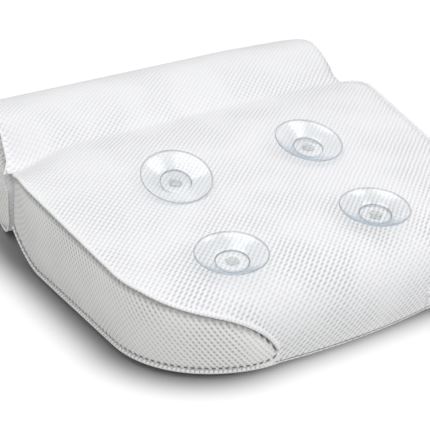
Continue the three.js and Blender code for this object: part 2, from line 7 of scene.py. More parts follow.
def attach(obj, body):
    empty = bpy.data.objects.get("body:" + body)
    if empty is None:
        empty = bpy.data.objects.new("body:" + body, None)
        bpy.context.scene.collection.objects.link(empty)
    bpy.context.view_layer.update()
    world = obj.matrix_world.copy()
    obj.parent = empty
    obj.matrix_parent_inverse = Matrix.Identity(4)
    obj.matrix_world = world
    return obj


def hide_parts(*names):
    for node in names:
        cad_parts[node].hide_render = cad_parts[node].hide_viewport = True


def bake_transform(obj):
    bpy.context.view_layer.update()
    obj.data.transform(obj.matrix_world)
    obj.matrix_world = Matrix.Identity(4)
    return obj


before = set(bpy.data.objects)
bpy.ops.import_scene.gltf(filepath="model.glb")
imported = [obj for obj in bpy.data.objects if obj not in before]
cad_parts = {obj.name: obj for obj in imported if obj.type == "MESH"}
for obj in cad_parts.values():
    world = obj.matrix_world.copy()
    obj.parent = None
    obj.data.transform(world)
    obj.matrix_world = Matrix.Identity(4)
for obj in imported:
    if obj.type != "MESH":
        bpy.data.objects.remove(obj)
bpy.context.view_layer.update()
mm = 0.001
fullTurn = 2 * math.pi
print("frame loaded,", len(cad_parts), "nodes")


def clearSelection():
    if bpy.context.object and bpy.context.object.mode != "OBJECT":
        bpy.ops.object.mode_set(mode="OBJECT")
    bpy.ops.object.select_all(action="DESELECT")


def pick(piece):
    clearSelection()
    piece.select_set(True)
    bpy.context.view_layer.objects.active = piece


def editAll(piece):  # edit mode, with all of the piece selected
    pick(piece)
    bpy.ops.object.mode_set(mode="EDIT")
    bpy.ops.mesh.select_all(action="SELECT")


def mergeClose(piece, reach):
    editAll(piece)
    bpy.ops.mesh.remove_doubles(threshold=reach)
    bpy.ops.object.mode_set(mode="OBJECT")


def turnOutward(piece):
    editAll(piece)
    bpy.ops.mesh.normals_make_consistent(inside=False)
    bpy.ops.object.mode_set(mode="OBJECT")
    bpy.ops.object.shade_smooth()


def applyModifier(piece, modifier):
    pick(piece)
    bpy.ops.object.modifier_apply(modifier=modifier.name)


# camera, fitted to the four cup rims and the outline
view = {"azimuth": -30.4, "elevation": 30.4, "tilt": 0.4, "distance": 1.092, "target": (0.0, 0.0275, 0.0),
        "lens": 95.75, "sensor": 36, "shiftX": 0.0065, "shiftY": 0.0033, "clipEnd": 50}
azimuth, elevation, tilt = (math.radians(view[angle]) for angle in ("azimuth", "elevation", "tilt"))
backWay = Vector((math.sin(azimuth) * math.cos(elevation), -math.cos(azimuth) * math.cos(elevation),
                  math.sin(elevation)))
rightWay = Vector((math.cos(azimuth), math.sin(azimuth), 0))
upWay = backWay.cross(rightWay)
rightTilted = rightWay * math.cos(tilt) + upWay * math.sin(tilt)
upTilted = upWay * math.cos(tilt) - rightWay * math.sin(tilt)
cameraData = bpy.data.cameras.new("camera")
cameraData.sensor_width = view["sensor"]
cameraData.lens = view["lens"]
cameraData.shift_x = view["shiftX"]
cameraData.shift_y = view["shiftY"]
cameraData.clip_end = view["clipEnd"]
camera = bpy.data.objects.new("camera", cameraData)
bpy.context.scene.collection.objects.link(camera)
cameraPlace = Vector(view["target"]) + backWay * view["distance"]
cameraTurn = Matrix((rightTilted, upTilted, backWay)).transposed().to_4x4()
camera.matrix_world = Matrix.Translation(cameraPlace) @ cameraTurn
bpy.context.scene.camera = camera
bpy.context.scene.view_settings.view_transform = "Standard"
print("camera set")


class Shade:  # one socket of a material, for maths on it
    def __init__(self, tree, socket=None):
        self.tree = tree
        self.socket = socket

    def node(self, kind, settings=None, sockets=None, out=0):
        made = self.tree.nodes.new("ShaderNode" + kind)
        for name, value in (settings or {}).items():
            setattr(made, name, value)
        for name, value in (sockets or {}).items():
            if isinstance(value, Shade):
                self.tree.links.new(value.socket, made.inputs[name])
            else:
                made.inputs[name].default_value = value
        return Shade(self.tree, made.outputs[out] if len(made.outputs) else None)

    def math(self, operation, *values):
        return self.node("Math", {"operation": operation}, dict(enumerate(values)))

    def __add__(self, other):
        return self.math("ADD", self, other)

    def __sub__(self, other):
        return self.math("SUBTRACT", self, other)

    def __rsub__(self, other):
        return self.math("SUBTRACT", other, self)

    def __mul__(self, other):
        return self.math("MULTIPLY", self, other)

    def __rmul__(self, other):
        return self.math("MULTIPLY", other, self)

    def __truediv__(self, other):
        return self.math("DIVIDE", self, other)

    def cosine(self):
        return self.math("COSINE", self)

    def vector(self, operation, sockets):
        return self.node("VectorMath", {"operation": operation}, sockets)

    def axis(self, name):
        return self.node("SeparateXYZ", {}, {0: self}, name)

    def step(self, low, high):  # 0 below low, 1 above high
        return self.node("MapRange", {"interpolation_type": "SMOOTHSTEP"},
                         {"Value": self, "From Min": low, "From Max": high})

    def band(self, edges):  # 1 between the middle two of four edges, 0 outside them
        return self.step(*edges[:2]) * (1 - self.step(*edges[2:]))

    def greyRamp(self, stops):
        made = self.tree.nodes.new("ShaderNodeValToRGB")
        self.tree.links.new(self.socket, made.inputs["Fac"])
        elements = made.color_ramp.elements
        while len(elements) < len(stops):
            elements.new(0.5)
        for element, (place, grey) in zip(elements, stops):
            element.position = place
            element.color = (grey, grey, grey, 1)
        return Shade(self.tree, made.outputs["Color"])

    def noise(self, scale, detail, out="Fac", dimensions="2D"):
        return self.node("TexNoise", {"noise_dimensions": dimensions},
                         {"Vector": self, "Scale": scale, "Detail": detail}, out)

    def bump(self, strength, distance):
        return self.node("Bump", {}, {"Strength": strength, "Distance": distance, "Height": self})

    def blendColours(self, first, second):
        return self.node("Mix", {"data_type": "RGBA"}, {0: self, 6: first, 7: second}, 2)

    def cut(self):
        return self.node("UVMap", {"uv_map": "cut"}, {}, "UV")

    def attribute(self, name):
        return self.node("Attribute", {"attribute_name": name}, {}, "Fac")


def newMaterial(name):
    material = bpy.data.materials.new(name)
    material.use_nodes = True
    material.node_tree.nodes.clear()
    return material, Shade(material.node_tree)


# the knit: ribs and links are waves to the metre, across and along the cut
airMesh = {
    "yarn": (0.955, 0.955, 0.965, 1), "hole": (0.56, 0.565, 0.575, 1), "rough": 0.86, "holeRough": 0.1,
    "bump": 0.6, "depth": 0.0008, "specular": 0.2, "sheen": 0.1, "sheenRough": 0.5,
    "ribs": (175.0, -200.0), "ribOpen": (-0.4, 1.0), "links": (155.0, 137.0), "linkOpen": (-0.7, 0.8),
    "linkShare": 0.5, "wobble": 0.5, "wander": 0.0012, "wanderScale": 60.0,
    "patchScale": 18.0, "patchStep": (0.3, 0.7), "patchOpen": (0.55, 0.5),
    "fuzzScale": 1400.0, "fuzzStep": (0.3, 0.75), "fuzzDark": 0.96, "fuzzHeight": 0.15,
    "sewnLine": (0.0045, 0.0052, 0.0062, 0.0069), "sewnPitch": 0.0036, "sewnStep": (-0.2, 0.6),
    "sewnColour": (0.55, 0.55, 0.56, 1), "sewnShare": 0.4,
    # colour and shares of the painted shade on the roll's right end
    "endShadeColour": (0.5, 0.5, 0.495, 1), "endShadeShare": (0.4, 0.35),
    "openAlong": [(0.0, 1.0), (0.22, 0.95), (0.4, 0.62), (0.47, 0.78), (0.56, 0.5), (0.8, 0.6)],
    "openAlongFit": (1.25, 0.4)}
stripMesh = dict(airMesh, yarn=(0.945, 0.945, 0.935, 1), hole=(0.5, 0.5, 0.49, 1), ribs=(225.0, 168.0),
                 ribOpen=(-0.2, 1.0), links=(225.0, -168.0), linkOpen=(-0.5, 0.9), linkShare=0.7,
                 wobble=0.25, openAlong=None)
stitching = {
    "pitch": 0.0053, "dotStep": (-0.5, 0.1), "low": (0.002, 0.0025, 0.0044, 0.005), "strength": 0.92,
    # the grooveShade keys set the painted shade in the groove under the lip
    "colour": (0.17, 0.17, 0.17, 1), "grooveShade": (0.002, 0.0078), "grooveShadeColour": (0.36, 0.36, 0.355, 1),
    "grooveShadeShare": (0.5, 0.25), "lipEnd": (-0.0004, 0.0006),
    "ripple": (-145.0, 250.0), "rippleReach": (0.014, 0.04), "rippleEnd": (0.06, 0.2),
    "rippleLean": (0.02, 0.06), "rippleShadeColour": (0.6, 0.6, 0.6, 1), "rippleShadeShare": 0.22, "rippleHeight": 0.8}


def waves(across, along, counts):
    return across * (counts[0] * fullTurn) + along * (counts[1] * fullTurn)


# also paints shade on the roll's right end, where the cloth turns away from the light
def stitchesAndEndShade(start, run, hole, colour, height, cloth):  # a fine row of stitches inside the sewn edge
    line = start.attribute("fromEdge").band(cloth["sewnLine"])
    line = line * (run * (fullTurn / cloth["sewnPitch"])).cosine().step(*cloth["sewnStep"])
    colour = (line * cloth["sewnShare"]).blendColours(colour, cloth["sewnColour"])
    endShadeLeast, endShadeHoles = cloth["endShadeShare"]
    # painted shade: the roll's right end is darkened, more at the holes
    paintedEndShade = start.attribute("paintedEndShade") * (hole * endShadeHoles + endShadeLeast)
    return paintedEndShade.blendColours(colour, cloth["endShadeColour"]), height - line


def stripStitches(start, across, plain, height, stitched):
    lower = start.attribute("fromLower")
    dot = (across * (fullTurn / stitched["pitch"])).cosine().step(*stitched["dotStep"])
    lowRow = lower.band(stitched["low"]) * dot
    leanHeight, leanLength = stitched["rippleLean"]
    leaning = lower - leanHeight * (1 - across / leanLength)
    ripple = waves(across, lower, stitched["ripple"]).cosine() * 0.5 + 0.5
    ripple = ripple * (1 - leaning.step(*stitched["rippleReach"])) * (1 - across.step(*stitched["rippleEnd"]))
    # painted shade in the ripple troughs; the ripples themselves are a bump
    colour = (ripple * stitched["rippleShadeShare"]).blendColours(plain, stitched["rippleShadeColour"])
    # painted shade in the groove under the lip, with the seam's stitch dots in it
    grooveShade = 1 - start.attribute("fromUpper").step(*stitched["grooveShade"])
    grooveShadeLeast, grooveDots = stitched["grooveShadeShare"]
    colour = (grooveShade * (dot * grooveDots + grooveShadeLeast)).blendColours(colour, stitched["grooveShadeColour"])
    colour = lower.step(*stitched["lipEnd"]).blendColours(plain, colour)  # plain below the lower seam
    colour = (lowRow * stitched["strength"]).blendColours(colour, stitched["colour"])
    return colour, height - lowRow - ripple * stitched["rippleHeight"]


def meshMaterial(name, cloth, stitched=None):
    material, start = newMaterial(name)
    cut = start.cut()
    drift = cut.noise(cloth["wanderScale"], 1.0, "Color")
    drift = drift.vector("SUBTRACT", {0: drift, 1: (0.5, 0.5, 0.5)})
    drift = drift.vector("SCALE", {0: drift, "Scale": cloth["wander"]})
    place = cut.vector("ADD", {0: cut, 1: drift})
    across = place.axis("X")
    along = place.axis("Y")
    linkTurn = waves(across, along, cloth["links"])
    ribTurn = waves(across, along, cloth["ribs"]) + (linkTurn + math.pi / 2).cosine() * cloth["wobble"]
    dash = linkTurn.cosine().step(*cloth["linkOpen"]) * cloth["linkShare"] + (1 - cloth["linkShare"])
    hole = ribTurn.cosine().step(*cloth["ribOpen"]) * dash
    patchLeast, patchMore = cloth["patchOpen"]
    openShare = place.noise(cloth["patchScale"], 1.0).step(*cloth["patchStep"]) * patchMore + patchLeast
    if cloth["openAlong"]:  # the holes show less towards the back of the pad and over the roll, as a ramp along the cut sets
        scale, shift = cloth["openAlongFit"]
        openShare = openShare * (along * scale + shift).greyRamp(cloth["openAlong"])
    opening = hole * openShare
    fuzz = place.noise(cloth["fuzzScale"], 2.0)
    darkYarn = tuple(value * cloth["fuzzDark"] for value in cloth["yarn"][:3]) + (1,)
    yarn = fuzz.step(*cloth["fuzzStep"]).blendColours(darkYarn, cloth["yarn"])
    colour = opening.blendColours(yarn, cloth["hole"])
    height = fuzz * cloth["fuzzHeight"] - opening
    if stitched:
        colour, height = stripStitches(start, across, colour, height, stitched)
    else:
        colour, height = stitchesAndEndShade(start, across + along, hole, colour, height, cloth)
    surface = start.node("BsdfPrincipled", {}, {
        "Base Color": colour, "Roughness": hole * cloth["holeRough"] + cloth["rough"],
        "Normal": height.bump(cloth["bump"], cloth["depth"]), "Specular IOR Level": cloth["specular"],
        "Sheen Weight": cloth["sheen"], "Sheen Roughness": cloth["sheenRough"]})
    start.node("OutputMaterial", {}, {"Surface": surface})
    return material


topFabric = meshMaterial("whiteAirMesh", airMesh)
sideFabric = meshMaterial("whiteStripMesh", stripMesh, stitching)

lipCloth = {"bright": (0.955, 0.955, 0.965, 1), "dark": (0.7, 0.7, 0.705, 1), "twist": 0.0031, "girth": 0.02,
            "grooveShade": (0.1, 1.0), "share": 0.4, "fuzzScale": 1100.0, "fuzzShare": 0.12, "fuzzHeight": 0.3,
            "rough": 0.78, "fuzzRough": 0.1, "bump": 0.5, "depth": 0.0005, "specular": 0.25, "sheen": 0.1}
beadCloth = dict(lipCloth, twist=0.0036, share=0.6, dark=(0.42, 0.42, 0.415, 1))


def pipingMaterial(name, cloth):
    material, start = newMaterial(name)
    cut = start.cut()
    lay = cut.axis("X") * (fullTurn / cloth["twist"]) + cut.axis("Y") * (fullTurn / cloth["girth"])
    # painted shade in the twist grooves of the lip and bead
    grooveShade = lay.cosine().step(*cloth["grooveShade"]) * cloth["share"]
    fuzz = cut.noise(cloth["fuzzScale"], 2.0)
    colour = (grooveShade + fuzz * cloth["fuzzShare"]).blendColours(cloth["bright"], cloth["dark"])
    bump = (fuzz * cloth["fuzzHeight"] - grooveShade).bump(cloth["bump"], cloth["depth"])
    surface = start.node("BsdfPrincipled", {}, {
        "Base Color": colour, "Roughness": fuzz * cloth["fuzzRough"] + cloth["rough"], "Normal": bump,
        "Specular IOR Level": cloth["specular"], "Sheen Weight": cloth["sheen"]})
    start.node("OutputMaterial", {}, {"Surface": surface})
    return material


lipFabric = pipingMaterial("whiteLip", lipCloth)
beadFabric = pipingMaterial("whiteBead", beadCloth)

# rim, boss and stud are distances from the cup's axis, and seen says how much each mark hides; the dark lines
# at the rim, boss and stud edge are painted, standing in for refraction at the vinyl's edges
vinyl = {"clear": (0.985, 0.99, 0.993, 1), "wall": (0.42, 0.53, 0.62, 1), "line": (0.16, 0.18, 0.2, 1),
         "button": (0.5, 0.55, 0.52, 1), "rim": (0.0286, 0.0291), "boss": (0.0129, 0.0132, 0.0136, 0.014),
         "bossInside": 0.45, "stud": (0.005, 0.0054), "studEdge": (0.0044, 0.0048, 0.0053, 0.0057),
         "grazeBlend": 0.5, "graze": (0.56, 0.9), "hazeScale": 120.0, "bump": 0.1, "depth": 0.001,
         "rough": 0.05, "hazeRough": 0.05, "glossRough": 0.14, "glossHaze": 0.06, "index": 1.47, "shine": 0.1,
         "seen": {"rim": 0.24, "boss": 0.5, "stud": 0.3, "studEdge": 0.2, "graze": 0.7, "haze": 0.01}}


def vinylMaterial(name):
    material, start = newMaterial(name)
    reach = start.cut().axis("Y")
    inside = start.node("NewGeometry", {}, {}, "Backfacing")
    facing = start.node("LayerWeight", {}, {"Blend": vinyl["grazeBlend"]}, "Facing")
    haze = start.node("TexCoord", {}, {}, "Object").noise(vinyl["hazeScale"], 3.0, dimensions="3D")
    marks = {"rim": reach.step(*vinyl["rim"]),
             "boss": reach.band(vinyl["boss"]) * (1 - inside * vinyl["bossInside"]),
             "stud": 1 - reach.step(*vinyl["stud"]), "studEdge": reach.band(vinyl["studEdge"]),
             "graze": facing.step(*vinyl["graze"]), "haze": haze}
    seen = marks["rim"] * vinyl["seen"]["rim"]
    for mark in ("boss", "stud", "studEdge", "graze", "haze"):
        seen = seen + marks[mark] * vinyl["seen"][mark]
    # painted dark lines at the rim, boss and stud edge, in place of refraction
    paintedEdgeLines = start.math("MINIMUM", marks["rim"] + marks["boss"] + marks["studEdge"], 1.0)
    colour = paintedEdgeLines.blendColours(vinyl["wall"], vinyl["line"])
    colour = marks["stud"].blendColours(colour, vinyl["button"])
    bump = haze.bump(vinyl["bump"], vinyl["depth"])
    clear = start.node("BsdfTransparent", {}, {"Color": vinyl["clear"]})
    skin = start.node("BsdfPrincipled", {}, {
        "Base Color": colour, "Roughness": haze * vinyl["hazeRough"] + vinyl["rough"], "Normal": bump})
    body = start.node("MixShader", {}, {0: start.math("MINIMUM", seen, 1.0), 1: clear, 2: skin})
    gloss = start.node("BsdfGlossy", {}, {
        "Color": (1, 1, 1, 1), "Roughness": haze * vinyl["glossHaze"] + vinyl["glossRough"], "Normal": bump})
    shine = start.math("MINIMUM", start.node("Fresnel", {}, {"IOR": vinyl["index"]}), vinyl["shine"])
    surface = start.node("MixShader", {}, {0: shine, 1: body, 2: gloss})
    start.node("OutputMaterial", {}, {"Surface": surface})
    return material


clearVinyl = vinylMaterial("clearVinyl")

plasticGrain = {"colour": (0.8, 0.8, 0.79), "dark": 0.85, "step": (0.3, 0.7), "scale": 600.0, "rough": 0.4,
                "grainRough": 0.15, "bump": 0.3, "depth": 0.0005}
fibreGrain = dict(plasticGrain, colour=(0.86, 0.87, 0.87), scale=260.0, rough=0.85)


def grainMaterial(name, look):
    material, start = newMaterial(name)
    grain = start.node("TexCoord", {}, {}, "Object").noise(look["scale"], 3.0, dimensions="3D")
    dark = tuple(value * look["dark"] for value in look["colour"]) + (1,)
    surface = start.node("BsdfPrincipled", {}, {
        "Base Color": grain.step(*look["step"]).blendColours(dark, look["colour"] + (1,)),
        "Roughness": grain * look["grainRough"] + look["rough"],
        "Normal": grain.bump(look["bump"], look["depth"])})
    start.node("OutputMaterial", {}, {"Surface": surface})
    return material


washerPlastic = grainMaterial("washerPlastic", plasticGrain)
fillingFibre = grainMaterial("fillingFibre", fibreGrain)
print("materials made")


def ramp(value, low, high):  # 0 at low, 1 at high and straight between, also where high is the lower
    return np.clip((value - low) / (high - low), 0, 1)


def softRamp(value, low, high):
    share = ramp(value, low, high)
    return share ** 2 * (3 - 2 * share)


def roundRise(share, power=2.0):
    share = np.clip(share, 0, 1)
    return (1 - (1 - share) ** power) ** (1 / power)


def stacked(*axes):
    return np.stack(np.broadcast_arrays(*axes), -1)


def unit(values):
    return values / np.maximum(np.linalg.norm(values, axis=-1, keepdims=True), 1e-9)


def faced(values, guide):  # each turned to the side of its guide
    return values * np.sign((values * guide).sum(-1, keepdims=True))


def curvePoints(corners, count):  # a Bezier of any degree
    share = np.linspace(0, 1, count)[:, None]
    level = [np.asarray(corner, float)[None, :] + 0 * share for corner in corners]
    while len(level) > 1:
        level = [first * (1 - share) + second * share for first, second in zip(level, level[1:])]
    return level[0]


def lengthsOf(path):
    return np.concatenate([[0], np.cumsum(np.linalg.norm(np.diff(path, axis=0), axis=1))])


def pointsAt(place, lengths, path):
    return np.stack([np.interp(place, lengths, path[:, axis]) for axis in range(path.shape[1])], -1)


def coordinates(piece):
    flat = np.empty(len(piece.data.vertices) * 3)
    piece.data.vertices.foreach_get("co", flat)
    return flat.reshape(-1, 3)


def setCoordinates(piece, points):
    piece.data.vertices.foreach_set("co", points.astype(np.float32).ravel())
    piece.data.update()


def setCut(piece, cut):
    mesh = piece.data
    corners = np.empty(len(mesh.loops), dtype=np.int32)
    mesh.loops.foreach_get("vertex_index", corners)
    while mesh.uv_layers:
        mesh.uv_layers.remove(mesh.uv_layers[0])
    layer = mesh.uv_layers.new(name="cut")
    layer.data.foreach_set("uv", cut[corners].astype(np.float32).ravel())


def clothGrid(name, points, cut, material, extras=None):  # points, cut and extras in mm, row by row
    rows, columns = points.shape[:2]
    clearSelection()
    bpy.ops.mesh.primitive_grid_add(x_subdivisions=columns - 1, y_subdivisions=rows - 1, size=2)
    piece = bpy.context.object
    piece.name = piece.data.name = name
    flat = coordinates(piece)
    column = np.rint((flat[:, 0] + 1) / 2 * (columns - 1)).astype(int)
    row = np.rint((flat[:, 1] + 1) / 2 * (rows - 1)).astype(int)
    setCoordinates(piece, points[row, column] * mm)
    setCut(piece, cut[row, column] * mm)
    for extra, values in (extras or {}).items():
        data = piece.data.attributes.new(extra, "FLOAT", "POINT").data
        data.foreach_set("value", (values[row, column] * mm).astype(np.float32))
    piece.data.materials.append(material)
    return piece, row, column


puffing = {"pressure": 4.0, "frames": 20, "stiffness": 15.0, "bending": 0.6, "quality": 5, "mass": 0.3,
           "leastHeld": 0.001}


def sewnAt(row, column, sewnRows, columns):  # 1 on the sewn rows and on the first and last columns
    return 1.0 * (np.isin(row, sewnRows) | np.isin(column, (0, columns - 1)))


def puffCloth(piece, held, most):  # held: 1 where sewn, 0 where free; most in mm
    before = coordinates(piece)
    group = piece.vertex_groups.new(name="sewn")
    for index, weight in enumerate(held):
        if weight > puffing["leastHeld"]:
            group.add([index], float(weight), "REPLACE")
    cloth = piece.modifiers.new("puff", "CLOTH")
    setting = cloth.settings
    setting.quality = puffing["quality"]
    setting.mass = puffing["mass"]
    setting.tension_stiffness = puffing["stiffness"]
    setting.compression_stiffness = puffing["stiffness"]
    setting.shear_stiffness = puffing["stiffness"]
    setting.bending_stiffness = puffing["bending"]
    setting.use_pressure = True
    setting.uniform_pressure_force = puffing["pressure"]
    setting.vertex_group_mass = "sewn"
    setting.pin_stiffness = 1.0
    setting.effector_weights.gravity = 0.0
    cloth.point_cache.frame_start = 1
    cloth.point_cache.frame_end = puffing["frames"]
    for step in range(1, puffing["frames"] + 1):
        bpy.context.scene.frame_set(step)
    applyModifier(piece, cloth)
    move = coordinates(piece) - before
    length = np.linalg.norm(move, axis=1)
    share = np.minimum(1, most * mm / np.maximum(length, 1e-9)) * (1 - np.asarray(held))
    after = before + move * share[:, None]
    after[:, 2] = np.maximum(after[:, 2], np.minimum(before[:, 2], 0.0))  # not into the floor
    setCoordinates(piece, after)
    piece.vertex_groups.clear()
    bpy.context.scene.frame_set(1)
    puffed = float(np.linalg.norm(after - before, axis=1).max()) / mm
    print("puffed", piece.name, "by up to", round(puffed, 2), "mm")


def smoothCloth(piece):
    smooth = piece.modifiers.new("smooth", "SUBSURF")
    smooth.levels = smooth.render_levels = 1
    applyModifier(piece, smooth)
    bpy.ops.object.shade_smooth()


# the pad's plan and heights, as the frame has them, in mm
pad = {"backWidth": 380.0, "depth": 255.0, "backY": 50.0, "taper": 5.9, "bow": 5.5,
       "frontCorner": 84.0, "cornerPull": 0.56, "seamHeight": 88.0, "seamSlope": 5.0, "crown": 2.0,
       "lowerSeam": 7.0, "underReach": 16.0, "fallReach": 66.0, "fallTall": 64.0, "fullness": 2.8,
       "creaseY": 76.0, "creaseZ": 85.0, "creaseHalf": 176.5, "creaseReach": 44.0,
       "creaseSink": (118.0, 176.0), "leftFall": 13.0, "rightFall": 3.5, "lipRound": 0.25, "lipPower": 1.5,
       "lipTurn": [(-181.5, 71.0), (-189.0, 61.0), (-190.1, 51.0)], "heelRise": 26.0, "heelLength": 45.0,
       "tipOffset": 72.0, "tipRise": 38.0, "tipLength": 55.0, "tipSlope": 13.0, "tipStand": 0.7}
rimCounts = {"lip": 80, "side": 240, "turn": 400, "front": 240, "batch": 400}
taperTan = math.tan(math.radians(pad["taper"]))
slopeTan = math.tan(math.radians(pad["seamSlope"]))
tipTan = math.tan(math.radians(pad["tipSlope"]))
sideWay = np.array([taperTan, -1.0]) / math.hypot(taperTan, 1)
backVertex = np.array([-pad["backWidth"] / 2, pad["backY"]])
frontVertex = backVertex + sideWay * (pad["depth"] - pad["bow"]) / -sideWay[1]
frontY = pad["backY"] - pad["depth"]
sideEnd = frontVertex - sideWay * pad["frontCorner"]
frontStart = frontVertex + np.array([pad["frontCorner"], 0])
frontControl = np.array([frontStart[0] / 2, frontY])
frontWay = (frontControl - frontStart) / np.linalg.norm(frontControl - frontStart)
lipEdge = curvePoints([(-pad["creaseHalf"], pad["creaseY"])] + pad["lipTurn"], rimCounts["lip"])
turnPoints = curvePoints([sideEnd, sideEnd + (frontVertex - sideEnd) * pad["cornerPull"],
                          frontStart - frontWay * pad["cornerPull"] * pad["frontCorner"], frontStart],
                         rimCounts["turn"])
rim = np.concatenate([lipEdge, curvePoints([backVertex, sideEnd], rimCounts["side"]), turnPoints[1:],
                      curvePoints([frontStart, frontControl, (0, frontY)], rimCounts["front"])[1:]])
rimLength = lengthsOf(rim)
rimTotal = rimLength[-1]
lipLength = rimLength[rimCounts["lip"]]
tipPlace = rimTotal - pad["tipOffset"]
turnStart = rimCounts["lip"] + rimCounts["side"] - 1
turnLengths = rimLength[turnStart:turnStart + rimCounts["turn"]]
arcMiddle = float(np.interp(0.5, np.linspace(0, 1, rimCounts["turn"]), turnLengths))


def rimAt(place):
    return pointsAt(place, rimLength, rim)


def halfWidth(y):
    return pad["backWidth"] / 2 - (pad["backY"] - y) * taperTan


def seamLine(y):
    return pad["seamHeight"] - (pad["backY"] - y) * slopeTan


def plateau(x, y):
    return seamLine(y) + pad["crown"] * (1 - np.minimum((x / halfWidth(y)) ** 2, 1))


def heelLift(y):
    return pad["heelRise"] * ramp(y, pad["backY"] - pad["heelLength"], pad["backY"]) ** 2


def lowerSeam(y):
    return heelLift(y) + pad["lowerSeam"]


def upperSeam(place, y):
    past = tipPlace - place
    rise = pad["lowerSeam"] + pad["tipRise"] * roundRise(past / pad["tipLength"]) + tipTan * past
    return np.where(past <= 0, lowerSeam(y) + pad["tipStand"], np.minimum(rise, seamLine(y)))


def nearestRim(x, y):  # distance to the rim, the place on it, and the way out
    side = np.where(x > 0, -1.0, 1.0)
    spots = stacked(x * side, y).reshape(-1, 2)
    runs = np.diff(rim, axis=0)
    runLengths = np.linalg.norm(runs, axis=-1)
    gaps, places, ways = [], [], []
    for first in range(0, len(spots), rimCounts["batch"]):
        some = spots[first:first + rimCounts["batch"], None]
        share = np.clip(((some - rim[:-1]) * runs).sum(-1) / (runs ** 2).sum(-1), 0, 1)
        gap = np.linalg.norm(some - (rim[:-1] + runs * share[..., None]), axis=-1)
        nearest = gap.argmin(1)
        rows = np.arange(len(some))
        gaps.append(gap[rows, nearest])
        places.append(rimLength[nearest] + share[rows, nearest] * runLengths[nearest])
        ways.append(unit(stacked(runs[nearest, 1], -runs[nearest, 0])))
    way = np.concatenate(ways).reshape(x.shape + (2,)) * stacked(side, 1.0)
    return np.concatenate(gaps).reshape(x.shape), np.concatenate(places).reshape(x.shape), way


def creaseAt(x):  # the crease sinks towards its ends, more at the left
    fall = np.where(x < 0, pad["leftFall"], pad["rightFall"])
    return pad["creaseZ"] - fall * softRamp(np.abs(x), *pad["creaseSink"])


def topHeight(x, y, inset, place):
    foot = rimAt(place)
    footX, footY = foot[..., 0], foot[..., 1]
    top = plateau(x, y)
    share = (upperSeam(place, footY) - pad["lowerSeam"]) / (plateau(footX, footY) - pad["lowerSeam"])
    power = pad["fullness"]
    fall = 1 - (1 - np.clip(share, 0, 1) ** power) ** (1 / power) + inset / pad["fallReach"]
    z = pad["lowerSeam"] + (top - pad["lowerSeam"]) * roundRise(fall, power)
    near = ramp(y, pad["creaseY"], pad["creaseY"] - pad["creaseReach"])
    soft = near ** pad["lipPower"] * (1 + pad["lipPower"] - pad["lipPower"] * near)
    lip = pad["lipRound"] * roundRise(near) + (1 - pad["lipRound"]) * soft
    return z - (top - creaseAt(x)) * (1 - lip), fall


# how much longer the cloth is than its plan on the fall
fallShare = np.linspace(0, 1, 2000)
fallRun = np.diff(fallShare) * pad["fallReach"]
fallExtra = np.hypot(fallRun, np.diff(pad["fallTall"] * roundRise(fallShare, pad["fullness"]))) - fallRun
fallExtra = np.concatenate([np.cumsum(fallExtra[::-1])[::-1], [0]])

# rows: plateau, then even steps down the fall; columns: closer at the tips and ends
cover = {"plateauRows": 38, "fallRows": 20, "rollRows": 46, "fallTall": 62.0, "middleColumns": 12,
         "flankColumns": 8, "tipSteps": (-1, -0.2, 0.15, 0.6, 1.5, 3, 5.2, 8.5, 13), "tipClear": (3, 18),
         "endSteps": (6.2, 4, 2.2, 0.9, 0), "endClear": 9, "cupHeld": (34, 22), "puff": 2.0,
         "sewnFrom": 110, "farFromEdge": 60.0}
insets = np.linspace(0, pad["fallReach"], 3000)
walk = lengthsOf(stacked(insets, cover["fallTall"] * roundRise(insets / pad["fallReach"], pad["fullness"])))
fallY = frontY + np.interp(np.linspace(0, walk[-1], cover["fallRows"] + 1), walk, insets)
middleY = np.concatenate([fallY[:-1], np.linspace(fallY[-1], pad["creaseY"], cover["plateauRows"])])
rowShare = (pad["creaseY"] - middleY) / (pad["creaseY"] - frontY)
frontReach = rimTotal - arcMiddle
tip = pad["tipOffset"]
halfSteps = np.concatenate([
    np.linspace(0, tip - cover["tipClear"][0], cover["middleColumns"]), tip + np.array(cover["tipSteps"]),
    np.linspace(tip + cover["tipClear"][1], frontReach - cover["endClear"], cover["flankColumns"]),
    frontReach - np.array(cover["endSteps"])])
columnPlace = np.concatenate([-halfSteps[:0:-1], halfSteps])  # along the front from its middle
columnShare = columnPlace / frontReach
rimPlace = rimTotal - np.abs(columnPlace)
frontLine = rimAt(rimPlace) * stacked(np.where(columnPlace > 0, -1, 1), 1)

leftY = middleY + (rimAt(arcMiddle)[1] - frontY) * rowShare
leftPlace = np.interp(-leftY, -rim[:, 1], rimLength)
leftLine = rimAt(leftPlace)
rightLine = leftLine * np.array([-1.0, 1.0])
backLine = stacked(columnShare * pad["creaseHalf"], pad["creaseY"])
over = ((columnShare + 1) / 2)[None, :, None]
down = rowShare[:, None, None]
plan = ((1 - over) * leftLine[:, None] + over * rightLine[:, None] + (1 - down) * backLine[None]
        + down * frontLine[None] - (1 - over) * (1 - down) * leftLine[-1] - over * (1 - down) * rightLine[-1]
        - (1 - over) * down * leftLine[0] - over * down * rightLine[0])
padX, padY = plan[..., 0], plan[..., 1]
inset, place, outWay = nearestRim(padX, padY)
inset[0, :] = inset[:, 0] = inset[:, -1] = 0
place[0, :] = rimPlace
place[:, 0] = place[:, -1] = leftPlace
padZ, fallPast = topHeight(padX, padY, inset, place)

# the left back corner hangs in and down, the right side stands out a little
sag = {"corner": (-190, 60), "reach": 46, "height": (36, 66), "back": (80, 64), "move": (5.0, -1.0, -2.5),
       "rightX": (0, 190), "rightY": (-150, -40), "rightBack": 90, "rightMove": (2.4, 0, 0.6)}


